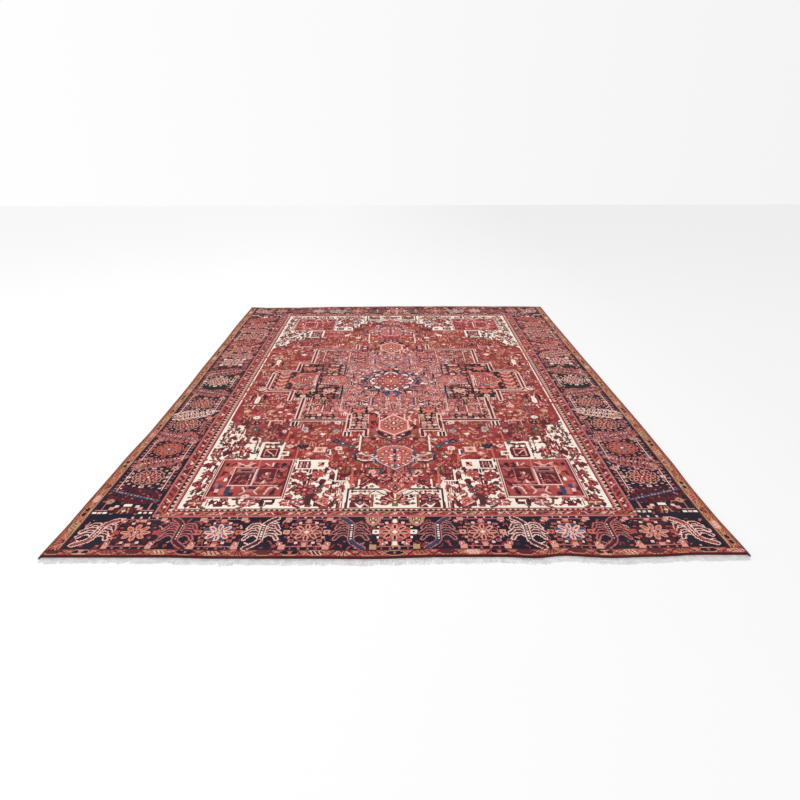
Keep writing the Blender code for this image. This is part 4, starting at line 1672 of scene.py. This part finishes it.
def make_fringe(end, spacing):
    """Short matted warp ends, each a tapering strand that wanders a little, in loose clumps."""
    node = f"fringe_{end}"
    low, high = map(np.array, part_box(node))
    sign = -1 if end == "front" else 1
    root, length = (high[1] if sign < 0 else low[1]), high[1] - low[1]
    noise = np.random.default_rng(53 if sign < 0 else 59)
    count = round((high[0] - low[0]) / spacing)
    thickness = high[2] - low[2]
    steps = np.linspace(0, 1, 6)
    points, quads, caps, start = [], [], [], 0
    clump, lean = 0.0, 0.0
    for i in range(count):
        if i % 5 == 0:
            clump, lean = noise.uniform(0.72, 1.06), noise.normal(0, 0.0035)
        x = low[0] + (i + 0.5) * spacing
        reach = length * min(clump * noise.uniform(0.85, 1.1), 1.12)
        sway = lean + noise.normal(0, 0.0022)
        bend = noise.normal(0, 0.0016)
        radius = spacing * noise.uniform(0.40, 0.62)
        line = np.stack(
            [
                x + sway * steps**1.5 + bend * np.sin(math.pi * steps),
                root + sign * reach * steps,
                low[2] + thickness * (0.46 + 0.10 * noise.uniform(-1, 1) - 0.10 * steps),
            ],
            1,
        )
        line[:, 0] = line[:, 0].clip(low[0] + radius, high[0] - radius)
        taper = radius * (1 - 0.55 * steps**2)
        part, faces, ends = tube(lie(line), 6, taper, squash=thickness * 0.40 / radius)
        points.append(part)
        quads.append(faces + start)
        caps += [cap + start for cap in ends]
        start += len(part)
    piece = piece_from(f"fringe_strands_{end}", np.concatenate(points), np.concatenate(quads), caps, smooth=True)
    return give(piece, node)


def make_foundation(colours, spacing=0.010):
    """The woven foundation: a thin closed cloth whose back shows the rows of knots."""
    low, high = map(np.array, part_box("foundation"))
    columns, rows = (round(v) for v in ((high - low)[:2] / spacing))
    x, y = np.linspace(low[0], high[0], columns + 1), np.linspace(low[1], high[1], rows + 1)
    grid_x, grid_y = (a.ravel() for a in np.meshgrid(x, y))
    ripple = 0.0002 * np.random.default_rng(3).uniform(0, 1, len(grid_x))
    sheet = len(grid_x)
    points = lie(np.concatenate([np.c_[grid_x, grid_y, low[2] + ripple], np.c_[grid_x, grid_y, high[2] - ripple]]))
    g = np.arange(sheet).reshape(rows + 1, columns + 1)
    top = np.stack([g[:-1, :-1], g[:-1, 1:], g[1:, 1:], g[1:, :-1]], 2).reshape(-1, 4)
    rim = np.concatenate([g[0], g[1:-1, -1], g[-1, ::-1], g[-2:0:-1, 0]])
    faces = np.concatenate([top[:, ::-1], top + sheet, quads_between(rim, rim + sheet)])
    piece = piece_from("cotton_foundation", points, faces)
    tints = np.concatenate([colours, colours, np.tile(colour("C9C2B2"), (len(rim), 1))])
    attribute = piece.data.attributes.new("wool", "FLOAT_COLOR", "FACE")
    attribute.data.foreach_set("color", np.c_[tints, np.ones(len(tints))].astype(np.float32).ravel())
    give(piece, "foundation")
    return piece


# ---- materials -----------------------------------------------------------------------------------


def add(tree, kind, settings=None, **sockets):
    """A node with its settings, and its inputs set or linked. Sockets go by name or as _number."""
    node = tree.nodes.new(kind)
    for key, value in (settings or {}).items():
        setattr(node, key, value)
    for key, value in sockets.items():
        socket = node.inputs[int(key[1:])] if key.startswith("_") else node.inputs[key.replace("_", " ")]
        if isinstance(value, bpy.types.NodeSocket):
            tree.links.new(value, socket)
        else:
            socket.default_value = value
    return node


def textile(name, roughness, sheen, sheen_tint=(1, 1, 1)):
    """A fibre material with nothing but its shader, for the nodes to be added to."""
    material = bpy.data.materials.new(name)
    material.use_nodes = True
    tree = material.node_tree
    shader = tree.nodes["Principled BSDF"]
    shader.inputs["Roughness"].default_value = roughness
    shader.inputs["IOR"].default_value = 1.5
    shader.inputs["Specular IOR Level"].default_value = 0.12
    shader.inputs["Sheen Weight"].default_value = sheen
    shader.inputs["Sheen Roughness"].default_value = 0.6
    shader.inputs["Sheen Tint"].default_value = (*sheen_tint, 1)
    place = tree.nodes.new("ShaderNodeTexCoord").outputs["Object"]
    return material, tree, shader, place


def knotted_wool(name, abrash, wear):
    """Knotted wool pile, vegetable dyed and clipped. Each knot has its own colour, the wool in it is
    uneven, the dye lot changes in bands across the rug, and wear has made it a little paler."""
    material, tree, shader, place = textile(name, 0.92, 0.03, (1.0, 0.93, 0.90))
    knot = add(tree, "ShaderNodeAttribute", {"attribute_name": "wool", "attribute_type": "GEOMETRY"})
    # The wool of one knot, about 5 mm: brighter and darker tufts.
    tuft = add(tree, "ShaderNodeTexNoise", Vector=place, Scale=230.0, Detail=2.0, Roughness=0.6)
    # A dye lot lasts some 5 to 30 cm of weaving, right across the rug.
    band = add(tree, "ShaderNodeMapping", Vector=place, Scale=(0.25, 6.0, 1.0))
    lot = add(tree, "ShaderNodeTexNoise", Vector=band.outputs[0], Scale=1.6, Detail=3.0, Roughness=0.55)
    # Patches worn by feet, some 30 cm wide.
    worn = add(tree, "ShaderNodeTexNoise", Vector=place, Scale=3.2, Detail=4.0, Roughness=0.6)
    value = add(tree, "ShaderNodeMapRange", Value=tuft.outputs[0], _1=0.25, _2=0.75, _3=0.80, _4=1.20)
    dyed = add(tree, "ShaderNodeMapRange", Value=lot.outputs[0], _1=0.3, _2=0.7, _3=1 - abrash, _4=1 + abrash)
    both = add(tree, "ShaderNodeMath", {"operation": "MULTIPLY"}, _0=value.outputs[0], _1=dyed.outputs[0])
    shade = add(
        tree, "ShaderNodeHueSaturation", Color=knot.outputs["Color"], Value=both.outputs[0], Saturation=1.0
    )
    pale = add(tree, "ShaderNodeMapRange", Value=worn.outputs[0], _1=0.45, _2=0.75, _3=0.0, _4=wear)
    faded = add(
        tree, "ShaderNodeMix", {"data_type": "RGBA"}, _0=pale.outputs[0], _6=shade.outputs[0],
        _7=(*colour("C9998C"), 1),
    )  # fmt: skip
    tree.links.new(faded.outputs[2], shader.inputs["Base Color"])
    # Cut ends of the tufts stand up like short grass, 1 to 2 mm apart.
    grass = add(tree, "ShaderNodeTexNoise", Vector=place, Scale=600.0, Detail=2.0)
    lift = add(tree, "ShaderNodeMix", _0=0.6, _2=tuft.outputs[0], _3=grass.outputs[0])
    bump = add(tree, "ShaderNodeBump", Strength=0.55, Distance=0.002, Height=lift.outputs[0])
    tree.links.new(bump.outputs[0], shader.inputs["Normal"])
    rough = add(tree, "ShaderNodeMapRange", Value=grass.outputs[0], _3=0.82, _4=1.0)
    tree.links.new(rough.outputs[0], shader.inputs["Roughness"])
    return material


def spun_yarn(name, light, dark, mark=None, thread=0.0008, roughness=0.88):
    """Plied yarn: fine slanting plies along the strand, and two close shades of one colour. The darker one lies in
    blotches, and in the grooves between the plies, where it is painted shade.
    """
    material, tree, shader, place = textile(name, roughness, 0.15)
    # Plies lie about 0.8 mm apart, drawn at 1.6 mm so that they show.
    plies = add(
        tree, "ShaderNodeTexWave", {"wave_type": "BANDS", "bands_direction": "DIAGONAL"},
        Vector=place, Scale=0.16 / thread, Distortion=3.0, Detail=2.0, Detail_Scale=4.0,
    )  # fmt: skip
    blotches = add(tree, "ShaderNodeTexNoise", Vector=place, Scale=28.0, Detail=5.0, Roughness=0.65)
    fibre = add(tree, "ShaderNodeTexNoise", Vector=place, Scale=420.0, Detail=2.0)
    # Darker in blotches, and in the grooves between the plies, where the bump is low: painted shade in the grooves.
    mixed = add(tree, "ShaderNodeMix", _0=0.65, _2=plies.outputs["Fac"], _3=blotches.outputs[0])
    ramp = add(tree, "ShaderNodeValToRGB", Fac=mixed.outputs[0])
    ramp.color_ramp.elements[0].color = (*colour(dark), 1)
    ramp.color_ramp.elements[0].position = 0.30
    ramp.color_ramp.elements[1].color = (*colour(light), 1)
    ramp.color_ramp.elements[1].position = 0.68
    if mark:
        middle = ramp.color_ramp.elements.new(0.5)
        middle.color = (*colour(mark), 1)
    tree.links.new(ramp.outputs[0], shader.inputs["Base Color"])
    height = add(tree, "ShaderNodeMix", _0=0.5, _2=plies.outputs["Fac"], _3=fibre.outputs[0])
    bump = add(tree, "ShaderNodeBump", Strength=0.5, Distance=0.0008, Height=height.outputs[0])
    tree.links.new(bump.outputs[0], shader.inputs["Normal"])
    rough = add(tree, "ShaderNodeMapRange", Value=fibre.outputs[0], _3=0.8, _4=0.98)
    tree.links.new(rough.outputs[0], shader.inputs["Roughness"])
    return material


def woven_back(name):
    """The back of a knotted rug: rows of knot loops between cotton wefts, in the pattern's colours."""
    material, tree, shader, place = textile(name, 0.9, 0.08)
    knot = add(tree, "ShaderNodeAttribute", {"attribute_name": "wool", "attribute_type": "GEOMETRY"})
    # Rows of knots 5 mm apart, with a thin cotton weft between.
    rows = add(
        tree, "ShaderNodeTexWave", {"wave_type": "BANDS", "bands_direction": "Y"},
        Vector=place, Scale=62.8, Distortion=1.0, Detail=2.0,
    )  # fmt: skip
    weft = add(tree, "ShaderNodeMapRange", Value=rows.outputs["Fac"], _1=0.75, _2=1.0, _3=0.0, _4=0.55)
    tint = add(
        tree, "ShaderNodeMix", {"data_type": "RGBA"}, _0=weft.outputs[0], _6=knot.outputs["Color"],
        _7=(*colour("B9B0A0"), 1),
    )  # fmt: skip
    tree.links.new(tint.outputs[2], shader.inputs["Base Color"])
    bump = add(tree, "ShaderNodeBump", Strength=0.5, Distance=0.001, Height=rows.outputs["Fac"])
    tree.links.new(bump.outputs[0], shader.inputs["Normal"])
    rough = add(tree, "ShaderNodeMapRange", Value=rows.outputs["Fac"], _3=0.8, _4=0.95)
    tree.links.new(rough.outputs[0], shader.inputs["Roughness"])
    return material


def studio_floor(name):
    """A painted white studio floor, very slightly mottled, with painted shade that makes it a little greyer towards
    the right.
    """
    material, tree, shader, place = textile(name, 0.6, 0.0)
    mottle = add(tree, "ShaderNodeTexNoise", Vector=place, Scale=2.0, Detail=3.0)
    split = add(tree, "ShaderNodeSeparateXYZ", _0=place)
    # Painted shade: the floor's white turns a little greyer towards the right.
    grey = add(tree, "ShaderNodeMapRange", Value=split.outputs[0], _1=-1.5, _2=2.5, _3=0.99, _4=0.90)
    uneven = add(tree, "ShaderNodeMapRange", Value=mottle.outputs[0], _3=0.99, _4=1.0)
    paint_and_shade = add(tree, "ShaderNodeMath", {"operation": "MULTIPLY"}, _0=grey.outputs[0], _1=uneven.outputs[0])
    tree.links.new(paint_and_shade.outputs[0], shader.inputs["Base Color"])
    shader.inputs["Specular IOR Level"].default_value = 0.0
    return material


# ---- operators -----------------------------------------------------------------------------------


@functools.cache
def drawn_plan(knot):
    """The weaver's plan for the whole rug, with the corners of its knots in metres."""
    low, high = map(np.array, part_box("foundation"))
    width, length = (high - low)[:2]
    plan = KnotPlan(1000 * width, 1000 * length, 1000 * knot)
    draw_rug(plan)
    corner_x = np.linspace(low[0], high[0], plan.columns + 1)
    corner_y = np.linspace(low[1], high[1], plan.rows + 1)
    return plan, corner_x, corner_y


def wool_colours(dyes):
    """The linear colours of an array of dye numbers."""
    palette = np.array([getattr(bpy.context.scene.rug_dyes, name)[:] for name in DYES])
    return palette[dyes]


class RUG_OT_pile(bpy.types.Operator):
    """Tie the pile: the field and the strips of the three borders"""

    bl_idname = "rug.pile"
    bl_label = "Pile"

    def execute(self, context):
        plan, corner_x, corner_y = drawn_plan(context.scene.rug_sizes.knot)
        x, y = np.meshgrid((corner_x[:-1] + corner_x[1:]) / 2, (corner_y[:-1] + corner_y[1:]) / 2)
        bottom, top = (corner[2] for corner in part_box("field_pile"))
        uneven = context.scene.rug_sizes.pile_unevenness
        colours = wool_colours(plan.dyes)
        field = np.array(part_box("field_pile"))[:, :2]
        field_material = knotted_wool("knotted_wool_field", 0.10, 0.06)
        border_material = knotted_wool("knotted_wool_border", 0.06, 0.04)
        guard_material = knotted_wool("knotted_wool_guard", 0.08, 0.06)

        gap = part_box("field_pile")[0][0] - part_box("inner_guard_left")[1][0]
        halves = [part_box("foundation")[1][:2]]
        for band in ("outer_guard", "main_border", "inner_guard"):
            inner_x = -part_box(f"{band}_left")[1][0] - gap / 2
            inner_y = -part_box(f"{band}_front")[1][1] - gap / 2
            halves.append((inner_x, inner_y))
        jobs = []
        for i, band in enumerate(("outer_guard", "main_border", "inner_guard")):
            for side in SIDES:
                mask = pile_cells(*halves[i], *halves[i + 1], side, x, y)
                jobs.append((f"{band}_{side}", mask))
        jobs.append(("field_pile", (np.abs(x) < halves[3][0]) & (np.abs(y) < halves[3][1])))
        for node, mask in jobs:
            name = node.replace("field_pile", "field_wool") if node == "field_pile" else f"{node}_wool"
            piece = pile_piece(name, mask, corner_x, corner_y, colours[mask], bottom, top, uneven)
            material = border_material if "main" in node else guard_material
            piece.data.materials.append(field_material if node == "field_pile" else material)
            give(piece, node)
        return {"FINISHED"}


class RUG_OT_foundation(bpy.types.Operator):
    """Weave the foundation"""

    bl_idname = "rug.foundation"
    bl_label = "Foundation"

    def execute(self, context):
        plan, corner_x, corner_y = drawn_plan(context.scene.rug_sizes.knot)
        low, high = map(np.array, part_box("foundation"))
        spacing = 2 * context.scene.rug_sizes.knot
        columns, rows = (round(v) for v in ((high - low)[:2] / spacing))
        column = ((np.arange(columns) + 0.5) * plan.columns / columns).astype(int)
        row = ((np.arange(rows) + 0.5) * plan.rows / rows).astype(int)
        colours = wool_colours(plan.dyes[np.ix_(row, column)]).reshape(-1, 3)
        piece = make_foundation(colours, spacing)
        piece.data.materials.append(woven_back("woven_cotton_and_knots"))
        return {"FINISHED"}


class RUG_OT_sides(bpy.types.Operator):
    """Make the side cords and wind wool over them"""

    bl_idname = "rug.sides"
    bl_label = "Sides"

    def execute(self, context):
        wool = spun_yarn("plied_wool_overcast", "6E3A34", "2C1213", "4A2322", thread=0.0012)
        cotton = spun_yarn("plied_cotton_cord", "D8D2C6", "A79F92")
        for side, sign in (("left", -1), ("right", 1)):
            make_overcast(side, sign, context.scene.rug_sizes.overcast_pitch).data.materials.append(wool)
            make_side_cord(side, sign).data.materials.append(cotton)
        return {"FINISHED"}


class RUG_OT_ends(bpy.types.Operator):
    """Make the twined rows, the flat-woven bands and the fringes"""

    bl_idname = "rug.ends"
    bl_label = "Ends"

    def execute(self, context):
        twined = spun_yarn("twined_wool", "6A2A30", "22101A", "451822")
        weave = spun_yarn("flat_woven_cotton", "E2DFDC", "9A9493", "C4BFBC")
        # The grey in the warp ends stands partly for specks in the cotton and partly for painted shade.
        strands = spun_yarn("cotton_warp_ends", "FBFAFA", "C3BFBF", "EFEDED")
        for end in ("front", "back"):
            make_twined_row(end).data.materials.append(twined)
            make_flat_weave(end).data.materials.append(weave)
            make_fringe(end, context.scene.rug_sizes.strand_spacing).data.materials.append(strands)
        return {"FINISHED"}


class RUG_OT_stage(bpy.types.Operator):
    """Set the floor, the lights and the camera"""

    bl_idname = "rug.stage"
    bl_label = "Stage"

    def execute(self, context):
        scene = context.scene
        steps = np.linspace(-12, 12, 25)
        x, y = (a.ravel() for a in np.meshgrid(steps, steps))
        g = np.arange(len(x)).reshape(25, 25)
        faces = np.stack([g[:-1, :-1], g[:-1, 1:], g[1:, 1:], g[1:, :-1]], 2).reshape(-1, 4)
        floor = piece_from("studio_floor", np.c_[x, y, np.full(len(x), cad_box[0][2] - 0.0005)], faces)
        floor.data.materials.append(studio_floor("white_paint"))

        camera_data = bpy.data.cameras.new("studio_camera")
        camera_data.sensor_width = 36
        camera_data.lens = 26.706
        camera_data.clip_end = 100
        camera = bpy.data.objects.new("studio_camera", camera_data)
        camera.location = (0.0203, -4.0329, 1.6308)
        camera.rotation_euler = [math.radians(a) for a in (66.023, 0.100, -0.152)]
        scene.collection.objects.link(camera)
        scene.camera = camera

        lamp_data = bpy.data.lights.new("soft_box", "AREA")
        lamp_data.shape, lamp_data.size, lamp_data.size_y, lamp_data.energy = "RECTANGLE", 7, 7, 50
        lamp = bpy.data.objects.new("soft_box", lamp_data)
        lamp.location = (-1.2, -0.6, 5.5)
        lamp.rotation_euler = (math.radians(-6), math.radians(-12), 0)
        scene.collection.objects.link(lamp)

        world = bpy.data.worlds.new("studio")
        world.use_nodes = True
        # The studio is white on the left and a little greyer on the right.
        place = world.node_tree.nodes.new("ShaderNodeTexCoord").outputs["Generated"]
        split = add(world.node_tree, "ShaderNodeSeparateXYZ", _0=place)
        grey = add(world.node_tree, "ShaderNodeMapRange", Value=split.outputs[0], _1=-0.6, _2=0.6, _3=1.0, _4=0.9)
        world.node_tree.links.new(grey.outputs[0], world.node_tree.nodes["Background"].inputs["Color"])
        scene.world = world
        scene.view_settings.view_transform = "Standard"
        return {"FINISHED"}


class RUG_PT_panel(bpy.types.Panel):
    """The rug's sizes, dyes and steps"""

    bl_idname = "RUG_PT_panel"
    bl_label = "Hand-knotted rug"
    bl_space_type = "VIEW_3D"
    bl_region_type = "UI"
    bl_category = "Rug"

    def draw(self, context):
        for group in (context.scene.rug_sizes, context.scene.rug_dyes):
            box = self.layout.box()
            for name in group.bl_rna.properties.keys():
                if name not in ("rna_type", "name"):
                    box.prop(group, name)
        for operator in OPERATORS:
            self.layout.operator(operator.bl_idname)


OPERATORS = (RUG_OT_pile, RUG_OT_sides, RUG_OT_ends, RUG_OT_foundation, RUG_OT_stage)
CLASSES = (RugDyes, RugSizes, *OPERATORS, RUG_PT_panel)


def register():
    for cls in CLASSES:
        bpy.utils.register_class(cls)
    bpy.types.Scene.rug_dyes = bpy.props.PointerProperty(type=RugDyes)
    bpy.types.Scene.rug_sizes = bpy.props.PointerProperty(type=RugSizes)


def unregister():
    del bpy.types.Scene.rug_sizes
    del bpy.types.Scene.rug_dyes
    for cls in reversed(CLASSES):
        bpy.utils.unregister_class(cls)


def main():
    register()
    bpy.ops.rug.pile()
    bpy.ops.rug.sides()
    bpy.ops.rug.ends()
    bpy.ops.rug.foundation()
    bpy.ops.rug.stage()


if __name__ == "__main__":
    main()
